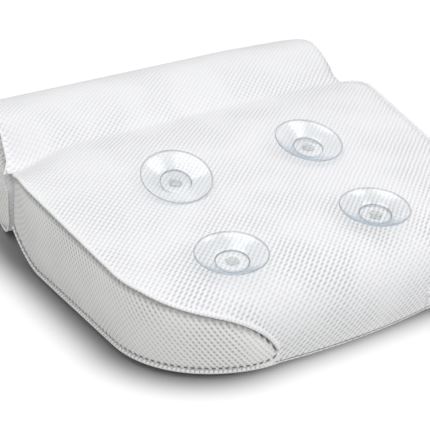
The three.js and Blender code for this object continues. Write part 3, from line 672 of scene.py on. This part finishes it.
def settle(points):
    x, y, z = (points[..., axis] for axis in range(3))
    near = softRamp(np.hypot(x - sag["corner"][0], y - sag["corner"][1]), sag["reach"], 0)
    near = near * ramp(z, *sag["height"]) * ramp(y, *sag["back"])
    right = ramp(x, *sag["rightX"]) ** 2 * ramp(y, *sag["rightY"]) * (y < sag["rightBack"])
    return points + near[..., None] * np.array(sag["move"]) + right[..., None] * np.array(sag["rightMove"])


padBase = stacked(padX, padY, padZ)
padPoints = settle(padBase)
padCut = plan + outWay * np.interp(np.clip(fallPast, 0, 1), fallShare, fallExtra)[..., None]

# the roll's section, from the crease over the top, round the back and under to the chin
headRoll = {
    "y": 138.4, "z": 51.5, "halfDepth": 66.6, "halfHeight": 52.0, "half": 178.0, "rightHalf": 185.0,
    "noseGap": 0.35, "noseLength": 26.0, "noseSlope": 25.0, "crestPull": 0.4, "backPower": 2.3,
    "underBackPower": 3.0, "underFrontPower": 3.8, "chinTurn": (-0.5, 72.0), "chin": (80.35, 81.0),
    "close": (77.4, 83.6), "leftSpread": 8.0, "rightSpread": 22.0,
    "endRound": 12.0, "endDrop": 1.6, "shoulderDrop": 6.0, "shoulderFloor": 78, "shoulderReach": 100,
    "shoulderPower": 0.8, "dropFrom": 12}
nose = np.array([pad["creaseY"] + headRoll["noseGap"], pad["creaseZ"]])
noseTurn = math.radians(headRoll["noseSlope"])
noseWay = headRoll["noseLength"] * np.array([math.cos(noseTurn), math.sin(noseTurn)])
rollMiddle = np.array([headRoll["y"], headRoll["z"]])
wide, tall = headRoll["halfDepth"], headRoll["halfHeight"]
crest = rollMiddle + np.array([0, tall])
front = curvePoints([nose, nose + noseWay, crest - np.array([wide * headRoll["crestPull"], 0]), crest], 120)
quarter = np.linspace(0, math.pi / 2, 150)[:, None]


def quarterRound(first, second, power):  # a fuller quarter oval, from the end of first to the end of second
    return (rollMiddle + np.array(first) * np.cos(quarter) ** (2 / power)
            + np.array(second) * np.sin(quarter) ** (2 / power))


oval = np.concatenate([quarterRound((0, tall), (wide, 0), headRoll["backPower"]),
                       quarterRound((wide, 0), (0, -tall), headRoll["underBackPower"])[1:],
                       quarterRound((0, -tall), (-wide, 0), headRoll["underFrontPower"])[1:]])
oval[:, 1] = np.maximum(oval[:, 1], 0)
chinX, chinZ = headRoll["chinTurn"]
under = curvePoints([oval[-1], (oval[-1][0] + chinX, chinZ), headRoll["chin"], headRoll["close"]], 60)
section = np.concatenate([front, oval[1:], under[1:]])
sectionLength = lengthsOf(section)
sectionTotal = sectionLength[-1]
rollPlaces = np.linspace(0, sectionTotal, cover["rollRows"] + 1)[1:]
rollSection = pointsAt(rollPlaces, sectionLength, section)
rollRow = rollPlaces[:, None]

# how the roll's ends differ from the plain section, with places along it and spans of x, y and z in mm
slack = {
    "lowFrontY": (120, 80), "lowFrontZ": (76, 60), "lowTail": 40, "leftFlare": 6.5, "leftFade": (0.8, 1.0),
    "leftInAt": (8.4, 16.8, 25.2, 33.6, 42.0, 50.4, 58.8, 67.2, 75.6),
    "leftIn": (1.3, 3.6, 5.2, 7.0, 8.0, 6.0, 3.8, 1.5, 0.0),
    "slope": 0.53, "frontReach": 75, "frontY": (130, 110), "endX": (120, 176),
    "rightFall": 3.5, "rightFallX": (100, 185), "rightFallY": (138, 166), "rightFallZ": (50, 75),
    "tail": (48, 24), "tailZ": (50, 74), "rightEndX": (158, 184), "rightTailDrop": 8.0,
    "tuckY": (76, 84, 90, 100, 111, 123), "tuck": (5.0, 10.0, 10.5, 5.0, 2.5, 0.0),
    "creaseEar": (-8.4, 0.4, -0.6), "underEar": (0.4, 1.2, 2.6), "earReach": 14, "earPower": 1.5,
    # these spans mark where the roll's right end gets painted shade
    "earJoin": 4, "endShadeX": (174, 183), "endShadeZ": (103, 89), "endShadeFrom": 6}
spread = ramp(rollRow, 0, np.where(columnShare < 0, headRoll["leftSpread"], headRoll["rightSpread"]))
rollReach = np.where(columnShare > 0, headRoll["rightHalf"], headRoll["half"])
rollX = columnShare * (pad["creaseHalf"] * (1 - spread) + rollReach * spread)
lowFront = ramp(rollSection[:, 0], *slack["lowFrontY"]) * ramp(rollSection[:, 1], *slack["lowFrontZ"])
lowFront = np.maximum(lowFront, 1.0 * (rollPlaces > sectionTotal - slack["lowTail"]))
leftIn = np.interp(rollPlaces, slack["leftInAt"], slack["leftIn"]) - slack["leftFlare"] * lowFront
rollX = rollX + leftIn[:, None] * ramp(-columnShare, *slack["leftFade"]) ** 2

drawn = 1 - roundRise((1 - np.abs(columnShare)) * headRoll["half"] / headRoll["endRound"])
shoulder = np.sin(math.pi * ramp(rollSection[:, 0], nose[0], crest[0]) ** headRoll["shoulderPower"])
shoulder = np.where(rollSection[:, 1] > headRoll["shoulderFloor"], shoulder, 0)
shoulder = shoulder * (rollPlaces < headRoll["shoulderReach"])
drop = (headRoll["endDrop"] + headRoll["shoulderDrop"] * shoulder) * ramp(rollPlaces, 0, headRoll["dropFrom"])
sunk = rollSection[:, None] + unit(rollMiddle - rollSection)[:, None] * (drop[:, None] * drawn)[..., None]
rollY, rollZ = sunk[..., 0], sunk[..., 1]

inFront = rollRow < slack["frontReach"]
slopeZ = creaseAt(rollX) + (rollY - nose[0]) * slack["slope"]  # the slack slope at the ends
endShare = softRamp(np.abs(rollX), *slack["endX"]) * ramp(rollY, *slack["frontY"])
slackZ = np.minimum(rollZ, rollZ * (1 - endShare) + slopeZ * endShare)
rollZ = np.where(inFront & (rollY < slack["frontY"][0]), slackZ, rollZ)
rollZ = rollZ - slack["rightFall"] * (ramp(rollX, *slack["rightFallX"]) * ramp(rollY, *slack["rightFallY"])
                                      * ramp(rollZ, *slack["rightFallZ"]))
tail = ramp(rollRow, *(sectionTotal - reach for reach in slack["tail"])) * ramp(rollZ, *slack["tailZ"])
rightEnd = ramp(rollX, *slack["rightEndX"]) ** 2
rollZ = rollZ - (pad["creaseZ"] - creaseAt(rollX) + slack["rightTailDrop"] * rightEnd) * tail
rollZ = rollZ - np.interp(rollY, slack["tuckY"], slack["tuck"]) * inFront * rightEnd
rollPoints = settle(stacked(rollX, rollY, rollZ))
rollCut = stacked(rollX, pad["creaseY"] + rollRow)

# one cover over pad and roll; at the crease the roll stands past the pad like an ear
padRows = len(padPoints)
coverPoints = np.concatenate([padPoints, rollPoints])
earShare = ramp((1 + columnShare) * pad["creaseHalf"], slack["earReach"], 0)[:, None] ** slack["earPower"]
coverPoints[padRows - 1] += earShare * np.array(slack["creaseEar"])
earTail = coverPoints[padRows - 1] + slack["underEar"] - coverPoints[-1]
coverPoints[-1] += earTail * np.clip(earShare * slack["earJoin"], 0, 1)
coverCut = np.concatenate([padCut, rollCut])
coverInset = np.concatenate([np.where(padX > cover["sewnFrom"], inset, cover["farFromEdge"]),
                             np.full(rollX.shape, cover["farFromEdge"])])
# painted shade over the front of the roll's right end, where the cloth turns away from the light
paintedEndShade = ramp(rollX, *slack["endShadeX"]) * ramp(rollZ, *slack["endShadeZ"])
paintedEndShade = paintedEndShade * ramp(rollRow, 0, slack["endShadeFrom"]) * inFront
coverEndShade = np.concatenate([0 * inset, paintedEndShade]) / mm
meshCover, coverRow, coverColumn = clothGrid("meshCover", coverPoints, coverCut, topFabric,
                                             {"fromEdge": coverInset, "paintedEndShade": coverEndShade})
cups = {  # each cup's seat on the pad, and its axis
    "backLeft": ((-71, -32, 82.52), (-0.0084, -0.2253, 0.9743)),
    "backRight": ((66, -32, 82.56), (0.0078, -0.2252, 0.9743)),
    "frontLeft": ((-84, -145, 72.45), (-0.0116, -0.1051, 0.9944)),
    "frontRight": ((56, -145, 72.72), (0.0077, -0.1048, 0.9945))}
spots = coverPoints[coverRow, coverColumn]
sewnRows = (0, padRows - 1, len(coverPoints) - 1)
coverHeld = sewnAt(coverRow, coverColumn, sewnRows, coverPoints.shape[1])
for seat, axis in cups.values():
    away = np.hypot(spots[:, 0] - seat[0], spots[:, 1] - seat[1])
    coverHeld = np.maximum(coverHeld, np.where(coverRow < padRows, ramp(away, *cover["cupHeld"]), 0))
puffCloth(meshCover, coverHeld, cover["puff"])
smoothCloth(meshCover)
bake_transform(meshCover)
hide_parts("back_panel", "roll_cover")
print("cover sewn,", coverPoints.shape[1], "columns", coverPoints.shape[0], "rows")

# side strips: their columns follow the cover's own edge from the crease end to the tip
strip = {"rows": 15, "bulge": 4.5, "bulgeTall": 40, "bulgeFrom": (26, 76), "bulgePower": 0.6, "tuck": 1.3,
         "tuckTall": 20, "tuckFoot": 0.4, "tipPast": 0.16, "tipReach": 24.0, "tipLift": 10.0,
         "tipFree": 10, "tipGrowth": 0.25, "footBack": (-184.0, 50.6), "puff": 1.5}
mirrorX = np.array([-1, 1, 1])
leftEdge = padBase[::-1, -1] * mirrorX
frontPast = columnPlace[1:] <= strip["tipPast"] - tip
edgeTop = np.concatenate([leftEdge, padBase[0, 1:][frontPast]])
edgePlace = np.concatenate([leftPlace[::-1], rimPlace[1:][frontPast]])
edgeOut = nearestRim(edgeTop[:, 0], edgeTop[:, 1])[2]
footBack = np.array(strip["footBack"])
footPlan = edgeTop[:, :2].copy()
onLip = edgePlace < lipLength
footPlan[onLip] = footBack + (backVertex - footBack) * (edgePlace[onLip] / lipLength)[:, None]
footZ = np.minimum(lowerSeam(footPlan[:, 1]), edgeTop[:, 2])
edgeFoot = stacked(footPlan[:, 0], footPlan[:, 1], footZ)
stripShare = np.linspace(0, 1, strip["rows"])[:, None]
stripTall = np.linalg.norm(edgeTop - edgeFoot, axis=1)[None]
stripPoints = edgeFoot[None] * (1 - stripShare[..., None]) + edgeTop[None] * stripShare[..., None]
swell = strip["bulge"] * np.minimum(stripTall / strip["bulgeTall"], 1) * ramp(edgePlace, *strip["bulgeFrom"])
swell = swell * (4 * stripShare * (1 - stripShare)) ** strip["bulgePower"]
tuck = strip["tuckFoot"] + (1 - strip["tuckFoot"]) * stripShare ** 4
tuck = strip["tuck"] * np.minimum(stripTall / strip["tuckTall"], 1) * tuck
stripPoints[..., :2] += edgeOut[None] * (swell - tuck)[..., None]
stripCut = stacked(edgePlace, stripShare * stripTall)
beforeTip = tipPlace - edgePlace
fromUpper = (1 - stripShare) * stripTall
fromLower = stripShare * stripTall - strip["tipLift"] * (1 - roundRise(beforeTip / strip["tipReach"]))
tipRoom = np.maximum(beforeTip - strip["tipFree"], 0) * strip["tipGrowth"]
fromLower = np.minimum(fromLower, fromUpper + tipRoom)


def onSide(points, side, share):  # each strip's top runs with its own side of the pad
    edge = padPoints[::-1, 0] if side == 1 else padPoints[::-1, -1] * mirrorX
    move = np.concatenate([edge - leftEdge, np.zeros((len(edgeTop) - len(leftEdge), 3))])
    return (points + move * share) * np.array([side, 1, 1])


for name, side in (("leftGusset", 1), ("rightGusset", -1)):
    shaped = onSide(stripPoints, side, stripShare[..., None])
    order = slice(None, None, side)
    gusset, gussetRow, gussetColumn = clothGrid(
        name, shaped[:, order], stripCut[:, order], sideFabric,
        {"fromLower": fromLower[:, order], "fromUpper": fromUpper[:, order]})
    gussetHeld = sewnAt(gussetRow, gussetColumn, (0, strip["rows"] - 1), len(edgeTop))
    puffCloth(gusset, gussetHeld, strip["puff"])
    smoothCloth(gusset)
    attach(gusset, "pad")
    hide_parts("left_gusset" if side == 1 else "right_gusset")
print("gussets sewn")

# the face that lies down, from the back edge to the rim; towards the back it follows the gussets' feet
face = {"rows": 34, "columns": 49, "flankFrom": -20, "merge": 0.00002}
faceY = pad["backY"] + (frontY - pad["backY"]) * np.sin(np.linspace(0, 1, face["rows"]) * math.pi / 2)
onFlank = edgeFoot[:, 1] > face["flankFrom"]
flankX = np.interp(-faceY, -edgeFoot[onFlank, 1], edgeFoot[onFlank, 0])
faceEdge = np.where(faceY > face["flankFrom"], flankX, np.interp(-faceY, -rim[:, 1], rim[:, 0]))[:, None]
acrossShare = np.sin(np.linspace(-1, 1, face["columns"]) * math.pi / 2)
facePlan = stacked(-faceEdge * acrossShare, faceY[:, None])
faceX, faceDepth = facePlan[..., 0], facePlan[..., 1]
faceInset = np.where(faceDepth > face["flankFrom"], np.abs(faceEdge) - np.abs(faceX),
                     nearestRim(faceX, faceDepth)[0])
faceZ = heelLift(faceDepth) + pad["lowerSeam"] * (1 - roundRise(faceInset / pad["underReach"]))
facePoints = stacked(faceX, faceDepth, faceZ)
facePanel = clothGrid("facePanel", facePoints, facePlan, topFabric)[0]
mergeClose(facePanel, face["merge"])
smoothCloth(facePanel)
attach(facePanel, "pad")
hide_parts("face_panel")


def faceBackZ(x):
    return np.interp(x, facePoints[0, :, 0], facePoints[0, :, 2])


# the wall under the crease
wall = {"rows": 12, "columns": 40, "lowHalf": 185.5, "highHalf": 177.0, "tall": 57, "lowDown": 0.4,
        "highIn": 1.2, "highDown": 1.4, "bulge": 3.0, "endPower": 6}
wallX = np.linspace(wall["lowHalf"], -wall["lowHalf"], wall["columns"])
wallShare = np.linspace(0, 1, wall["rows"])[:, None]
wallLow = stacked(wallX, pad["backY"], faceBackZ(wallX) - wall["lowDown"])
wallHigh = stacked(wallX * wall["highHalf"] / wall["lowHalf"], pad["creaseY"] - wall["highIn"],
                   creaseAt(wallX) - wall["highDown"])
wallPoints = wallLow[None] * (1 - wallShare[..., None]) + wallHigh[None] * wallShare[..., None]
wallFlat = (wallX / wall["lowHalf"]) ** wall["endPower"]
wallPoints[..., 1] += wall["bulge"] * 4 * wallShare * (1 - wallShare) * (1 - wallFlat)
backWall = clothGrid("backWall", wallPoints, stacked(wallX, wallShare * wall["tall"]), topFabric)[0]
smoothCloth(backWall)
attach(backWall, "pad")
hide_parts("back_wall")
print("face and wall sewn")

# roll ends: rings from the cover's end edge to the middle
rollEnd = {"rings": 12, "middleIn": 4, "flatten": 3.2, "dome": 6.0, "domeReach": 1.2, "domePower": 2.2,
           "farFromLower": 20.0, "merge": 0.00005}
endRings = {}
for side, column in ((1, 0), (-1, -1)):
    ring = np.concatenate([coverPoints[padRows - 1:, column], coverPoints[padRows - 1:padRows, column]])
    endRings[side] = ring * np.array([side, 1, 1])
ringShare = np.linspace(0, 1, rollEnd["rings"])[:, None]
flatShare = roundRise(ringShare * rollEnd["flatten"])
dome = rollEnd["dome"] * roundRise(ringShare * rollEnd["domeReach"], rollEnd["domePower"])
endMiddle = rollMiddle - np.array([rollEnd["middleIn"], 0])
for name, side in (("rollLeftEnd", 1), ("rollRightEnd", -1)):
    endRing = endRings[side]
    capPlan = endRing[None, :, 1:] * (1 - ringShare[..., None]) + endMiddle * ringShare[..., None]
    capX = endRing[None, :, 0] * (1 - flatShare) + np.median(endRing[:, 0]) * flatShare - dome
    capPoints = stacked(capX * side, capPlan[..., 0], capPlan[..., 1])
    # fromUpper is the distance from the ring, so the caps get the painted groove shade beside the roll's end
    # seam
    fromRing = ringShare * np.linalg.norm(endRing[:, 1:] - endMiddle, axis=1)
    order = slice(None, None, -side)
    cap = clothGrid(name, capPoints[:, order], capPlan[:, order], sideFabric,
                    {"fromLower": np.full(capX.shape, rollEnd["farFromLower"]),
                     "fromUpper": fromRing[:, order]})[0]
    mergeClose(cap, rollEnd["merge"])
    smoothCloth(cap)
    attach(cap, "roll")
    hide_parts("roll_left_end" if side == 1 else "roll_right_end")
print("roll ends sewn")

# the cover's rolled lip along the upper seam, the narrow bead along the lower one, and the roll's own seams
binding = {
    "lip": {"wide": 2.0, "high": 1.25, "sides": 12, "bead": 0.1, "taper": (24.0, 16.0)},
    "lower": {"wide": 1.5, "high": 1.5, "sides": 8, "bead": 0.06, "taper": (5.0, 26.0),
              "slim": ((20, 110), (0.55, 1))},
    "rollEnd": {"wide": 1.1, "high": 1.1, "sides": 8, "bead": 0.0},
    "step": 1.1, "beadPitch": 3.6, "thinnest": 0.02, "merge": 0.00002, "lipIn": 1.3, "lipUp": 0.4,
    "tipTurn": [(2.3, 9.5), (2.7, 6.8), (4.5, 3.6), (8.0, 1.2), (14.0, 0.2), (24.0, 0.0)], "tipOut": 0.4,
    "wallTurn": (-170.0, -176.0, -181.0), "wallSide": [(0, 1, 0), (0, 1, 0), (-0.5, 0.87, 0)],
    "wallGap": 0.9, "lowerOut": 0.7, "lowerDown": 0.3, "ringIn": 0.6, "ringDown": 0.3}


def bandGrid(name, line, outer, side, band, cloth):  # a rolled band, wide along side and high along outer
    lengths = lengthsOf(line)
    total = lengths[-1]
    places = np.linspace(0, total, int(total / binding["step"]))
    line, outer, side = (pointsAt(places, lengths, values) for values in (line, outer, side))
    turns = np.linspace(0, fullTurn, band["sides"] + 1)[:, None, None]
    thick = 1 + band["bead"] * np.cos(fullTurn * places / binding["beadPitch"])
    if "taper" in band:  # the ends narrow to nothing
        narrow = roundRise(places / band["taper"][0]) * roundRise((total - places) / band["taper"][1])
        thick = thick * np.maximum(narrow, binding["thinnest"])
    if "slim" in band:  # thinner along its first stretch
        thick = thick * np.interp(places, *band["slim"])
    around = band["wide"] * np.cos(turns) * side + band["high"] * np.sin(turns) * outer
    cut = stacked(places, turns[..., 0] * (band["wide"] + band["high"]) / 2)
    piece = clothGrid(name, line + thick[:, None] * around, cut, cloth)[0]
    mergeClose(piece, binding["merge"])
    turnOutward(piece)
    return piece


def joined(first, second):
    pick(first)
    second.select_set(True)
    bpy.ops.object.join()
    return first


inner = np.concatenate([padBase[::-1, -4] * mirrorX, padBase[1, 1:][frontPast]])
along = unit(np.gradient(edgeTop, axis=0))
inward = inner - edgeTop
inward = unit(inward - along * (inward * along).sum(-1, keepdims=True))
proud = faced(unit(np.cross(along, inward)), stacked(edgeOut[:, 0], edgeOut[:, 1], 1.0))
outFlat = stacked(edgeOut[:, 0], edgeOut[:, 1], 0.0)
lipLine = edgeTop + inward * binding["lipIn"] + proud * binding["lipUp"]
lipKept = beforeTip > binding["tipTurn"][0][0]
tipLine, tipOuter = [], []
for past, rise in binding["tipTurn"]:  # round the tip: how far before it, and how high up the strip
    foot, head, out = (pointsAt(tipPlace - past, edgePlace, values)
                       for values in (edgeFoot, edgeTop, outFlat))
    tipLine.append(foot + (head - foot) * rise / np.linalg.norm(head - foot) + out * binding["tipOut"])
    tipOuter.append(out)
lipPath = np.concatenate([lipLine[lipKept], tipLine])
lipOuter = np.concatenate([proud[lipKept], tipOuter])
lipSide = unit(np.cross(unit(np.gradient(lipPath, axis=0)), lipOuter))
lipSide = faced(lipSide, np.concatenate([inward[lipKept], lipSide[lipKept.sum():]]))
turnX = np.array(binding["wallTurn"])  # the lower bead starts along the wall's foot
wallTurn = stacked(turnX, pad["backY"] + binding["wallGap"], faceBackZ(turnX))
lowerSide = np.concatenate([binding["wallSide"], outFlat])
lowerOuter = np.array([0, 0, -1.0]) + 0 * lowerSide
lowerLine = np.concatenate([wallTurn, edgeFoot + outFlat * binding["lowerOut"]])
lowerLine = lowerLine + lowerOuter * binding["lowerDown"]
for name, side in (("leftGussetSeam", 1), ("rightGussetSeam", -1)):
    flip = np.array([side, 1, 1])
    path = np.concatenate([onSide(lipLine, side, 1.0)[lipKept], lipPath[lipKept.sum():] * flip])
    seam = bandGrid(name, path, lipOuter * flip, lipSide * flip, binding["lip"], lipFabric)
    bead = bandGrid(name + "Lower", lowerLine * flip, lowerOuter * flip, lowerSide * flip, binding["lower"],
                    beadFabric)
    seam = joined(seam, bead)
    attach(seam, "pad")
    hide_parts("left_gusset_seam" if side == 1 else "right_gusset_seam")
for name, side in (("rollLeftSeam", 1), ("rollRightSeam", -1)):
    flip = np.array([side, 1, 1])
    endRing = endRings[side]
    ringIn = unit(stacked(0.0, rollMiddle[0] - endRing[:, 1], rollMiddle[1] - endRing[:, 2]))
    sideways = np.array([1.0, 0, 0]) + 0 * ringIn
    path = endRing - sideways * binding["ringIn"] + ringIn * binding["ringDown"]
    seam = bandGrid(name, path * flip, ringIn * flip, sideways * flip, binding["rollEnd"], lipFabric)
    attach(seam, "roll")
    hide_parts("roll_left_seam" if side == 1 else "roll_right_seam")
print("seams bound")

# fillings, closed forms just inside the cloth; the pad's stays inside the slanting wall
fillings = {"padMiddle": (0, -70.0, 42.0), "padScale": (0.96, 0.96, 0.86), "above": 4, "wallIn": 4,
            "wallSlope": 2.1, "rollScale": (0.96, 0.9, 0.9), "merge": 0.00005}
padMiddle = np.array(fillings["padMiddle"])
upperHalf = padMiddle + (padPoints[::3, ::3] - padMiddle) * np.array(fillings["padScale"])
upperY, upperZ = upperHalf[..., 1], upperHalf[..., 2]
alongWall = (upperY - pad["backY"] + fillings["wallIn"]) * fillings["wallSlope"] + lowerSeam(pad["backY"])
lowerZ = fillings["above"] + np.maximum(heelLift(upperY), alongWall)
lowerHalf = stacked(upperHalf[..., 0], upperY, np.minimum(lowerZ, upperZ))
padForm = np.concatenate([upperHalf, lowerHalf[::-1], upperHalf[:1]])
rollCore = np.array([0, headRoll["y"], headRoll["z"]])
rollRing = np.concatenate([rollPoints[::2, ::3], rollPoints[:1, ::3]])
rollForm = rollCore + (rollRing - rollCore) * np.array(fillings["rollScale"])
for name, node, body, form in (("padFilling", "pad_core", "pad", padForm),
                               ("rollFilling", "roll_core", "roll", rollForm)):
    filling = clothGrid(name, form, form[..., :2], fillingFibre)[0]
    mergeClose(filling, fillings["merge"])
    editAll(filling)
    bpy.ops.mesh.select_mode(type="EDGE")
    bpy.ops.mesh.select_all(action="DESELECT")
    bpy.ops.mesh.select_non_manifold()
    bpy.ops.mesh.fill_holes(sides=0)
    bpy.ops.mesh.select_mode(type="VERT")
    turnOutward(filling)
    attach(filling, body)
    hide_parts(node)
print("fillings placed")

# a suction cup, turned ring by ring from the middle of the bowl out to the rim and back under to the stud
cup = {"sides": 72, "rimRadius": 30.0, "rimHeight": 9.5, "bossRadius": 13.4, "rimEven": 3, "skirtPower": 1.3,
       "sharp": 40, "merge": 0.000001, "profile": [
           (0.6, 1.55), (2.2, 1.6), (2.5, 1.85), (2.9, 2.15), (4.6, 2.2), (5.05, 2.05), (5.25, 1.7),
           (5.5, 1.4), (6.2, 1.3), (11.6, 1.3), (12.6, 1.35), (13.15, 1.6), (13.5, 2.3), (14.2, 2.8),
           (16.0, 3.5), (19.0, 4.6), (22.0, 5.75), (25.0, 7.0), (27.5, 8.15), (29.2, 9.1), (29.7, 9.42),
           (30.0, 9.42), (30.12, 9.2), (29.95, 8.9), (28.0, 7.75), (25.0, 6.25), (22.0, 4.95),
           (19.0, 3.75), (16.0, 2.6), (14.2, 1.75), (13.7, 1.3), (13.4, 0.7), (13.3, 0.1), (13.0, -0.1),
           (12.0, -0.15), (5.0, -0.15), (4.3, -0.2), (4.0, -0.5), (4.0, -5.6), (4.2, -5.9), (6.6, -6.0),
           (7.0, -6.3), (7.0, -8.1), (6.6, -8.5), (0.6, -8.6)]}
skirts = {  # each soft skirt leans its own way: rim centre, axis and radius, then the boss's lean and shift
    "backLeft": ((-71.1, -34.0, 91.9), (-0.024, -0.329, 0.944), 31.2, 1.15, (0, 0.6, 0.8)),
    "backRight": ((64.8, -33.1, 92.2), (0.068, -0.221, 0.973), 31.2, 0.6, (-1.2, 0, 0)),
    "frontLeft": ((-84.3, -146.4, 81.1), (0.002, -0.053, 0.999), 29.7, 0.6, (0, -2.0, -0.8)),
    "frontRight": ((54.7, -145.2, 82.1), (0.023, -0.066, 0.998), 29.8, 0.6, (0, 0, 0))}
clearSelection()
firstRing, firstHeight = cup["profile"][0]
bpy.ops.mesh.primitive_circle_add(vertices=cup["sides"], radius=firstRing * mm, fill_type="NGON",
                                  location=(0, 0, firstHeight * mm))
cupModel = bpy.context.object
bpy.ops.object.transform_apply(location=True)
bpy.ops.object.mode_set(mode="EDIT")
bpy.ops.mesh.select_mode(type="EDGE")
bpy.ops.mesh.select_all(action="SELECT")
for (ringBefore, heightBefore), (ring, height) in zip(cup["profile"], cup["profile"][1:]):
    bpy.ops.mesh.extrude_edges_move()
    grow = ring / ringBefore
    bpy.ops.transform.resize(value=(grow, grow, 1), center_override=(0, 0, heightBefore * mm))
    bpy.ops.transform.translate(value=(0, 0, (height - heightBefore) * mm))
bpy.ops.mesh.edge_face_add()
bpy.ops.mesh.select_all(action="SELECT")
bpy.ops.mesh.remove_doubles(threshold=cup["merge"])
bpy.ops.mesh.normals_make_consistent(inside=False)
bpy.ops.object.mode_set(mode="OBJECT")
bpy.ops.object.shade_smooth_by_angle(angle=math.radians(cup["sharp"]))
cupShape = coordinates(cupModel) / mm
cupReach = np.hypot(cupShape[:, 0], cupShape[:, 1])
skirtShare = ramp(cupReach, cup["bossRadius"], cup["rimRadius"] - cup["rimEven"])[:, None]
skirtShare = skirtShare ** cup["skirtPower"]
cupModel.data.materials.append(clearVinyl)
setCut(cupModel, stacked(np.arctan2(cupShape[:, 1], cupShape[:, 0]) * 10, cupReach) * mm)


def standing(points, middle, axis):
    upright = Vector((0, 0, 1))
    turn = np.array(upright.rotation_difference(Vector(axis).normalized()).to_matrix())
    return points @ turn.T + np.array(middle)


for name, node in (("backLeft", "back_left_cup"), ("backRight", "back_right_cup"),
                   ("frontLeft", "front_left_cup"), ("frontRight", "front_right_cup")):
    seat, axis = cups[name]
    rimMiddle, rimAxis, rimRadius, lean, bossMove = skirts[name]
    copy = bpy.data.objects.new(name + "Cup", cupModel.data.copy())
    bpy.context.scene.collection.objects.link(copy)
    copy.data.name = name + "Cup"
    bossAxis = np.array(axis) * (1 - lean) + np.array(rimAxis) * lean
    boss = standing(cupShape, np.array(seat) + bossMove, bossAxis)
    grow = rimRadius / cup["rimRadius"]
    grown = (cupShape - np.array([0, 0, cup["rimHeight"]])) * np.array([grow, grow, 1])
    skirt = standing(grown, rimMiddle, rimAxis)
    setCoordinates(copy, (boss * (1 - skirtShare) + skirt * skirtShare) * mm)
    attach(copy, node)
    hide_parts(node)
bpy.data.objects.remove(cupModel)
print("cups moulded")

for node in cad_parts:
    if node.endswith("washer"):
        shown = bpy.data.objects[node]
        shown.data.materials.clear()
        shown.data.materials.append(washerPlastic)

# floor, world and lamps; for the camera the floor holds a painted shadow round the pillow's rounded plan,
# brightening away from it
studio = {"floorSize": 14, "floorDown": -0.0004, "floorSeenShadowed": (0.24, 0.24, 0.24, 1),
          "floorBounce": (0.82, 0.82, 0.805, 1), "floorRough": 0.9, "floorSpecular": 0.1, "shadowLiftStrength": 0.84,
          "shadowReach": (-0.009, 0.06), "planShift": 0.003, "planHalf": 0.111, "planDepth": 0.11,
          "planRound": 0.085, "skyLow": 0.04, "skyHigh": 0.6, "lampColour": (0.985, 0.985, 1.0),
          "lampAim": (0, 0, 0.05), "mirrored": ("top", "key"),
          "lamps": [("top", 12.0, (-0.45, -0.15, 1.65), 1.6), ("key", 2.2, (0.95, -0.35, 1.5), 0.7),
                    ("frontRight", 8.0, (0.4, -1.35, 1.15), 1.2), ("left", 0.5, (-1.6, -0.2, 0.8), 1.2)]}
clearSelection()
bpy.ops.mesh.primitive_grid_add(x_subdivisions=4, y_subdivisions=4, size=studio["floorSize"],
                                location=(0, 0, studio["floorDown"]))
floor = bpy.context.object
floor.name = "floor"
floorMaterial, start = newMaterial("paleFloor")
rays = start.node("LightPath", {}, {}, "Is Camera Ray")
spot = start.node("TexCoord", {}, {}, "Object")
floorX = spot.axis("X")
floorY = spot.axis("Y")
narrowing = start.math("MAXIMUM", pad["backY"] * mm - floorY, 0.0) * taperTan
fromMiddle = start.math("ABSOLUTE", floorX + studio["planShift"])
sideGap = start.math("MAXIMUM", fromMiddle + narrowing - studio["planHalf"], 0.0)
frontGap = start.math("MAXIMUM", start.math("ABSOLUTE", floorY) - studio["planDepth"], 0.0)
away = start.math("SQRT", sideGap * sideGap + frontGap * frontGap) - studio["planRound"]
# painted shadow: the camera sees a dark floor near the pillow, lifted by emission further away
shaded = 1 - away.step(*studio["shadowReach"])
shadowFade = (1 - shaded * shaded * shaded) * rays
surface = start.node("BsdfPrincipled", {}, {
    "Base Color": rays.blendColours(studio["floorBounce"], studio["floorSeenShadowed"]),
    "Roughness": studio["floorRough"], "Specular IOR Level": studio["floorSpecular"],
    "Emission Color": shadowFade.blendColours((0, 0, 0, 1), (1, 1, 1, 1)),
    "Emission Strength": studio["shadowLiftStrength"]})
start.node("OutputMaterial", {}, {"Surface": surface})
floor.data.materials.append(floorMaterial)

world = bpy.data.worlds.new("studio")
bpy.context.scene.world = world
world.use_nodes = True
world.node_tree.nodes.clear()
start = Shade(world.node_tree)
seen = start.node("LightPath", {}, {}, "Is Camera Ray")
glossy = start.node("LightPath", {}, {}, "Is Glossy Ray")
bounced = start.node("LightPath", {}, {}, "Diffuse Depth")
white = start.math("MINIMUM", seen + glossy, 1.0) * (1 - start.math("MINIMUM", bounced, 1.0))
height = start.math("MAXIMUM", start.node("TexCoord", {}, {}, "Generated").axis("Z"), 0.0)
glow = height * studio["skyHigh"] + studio["skyLow"]
sky = start.node("Background", {}, {"Color": (1, 1, 1, 1), "Strength": white * (1 - glow) + glow})
start.node("OutputWorld", {}, {"Surface": sky})

for name, power, spot, size in studio["lamps"]:
    lampData = bpy.data.lights.new(name, "AREA")
    lampData.energy = power
    lampData.color = studio["lampColour"]
    lampData.shape = "DISK"
    lampData.size = size
    lamp = bpy.data.objects.new(name, lampData)
    bpy.context.scene.collection.objects.link(lamp)
    lamp.location = spot
    lamp.visible_glossy = name in studio["mirrored"]
    lamp.rotation_euler = (Vector(studio["lampAim"]) - lamp.location).to_track_quat("-Z", "Y").to_euler()
print("studio lit")

bpy.context.view_layer.update()
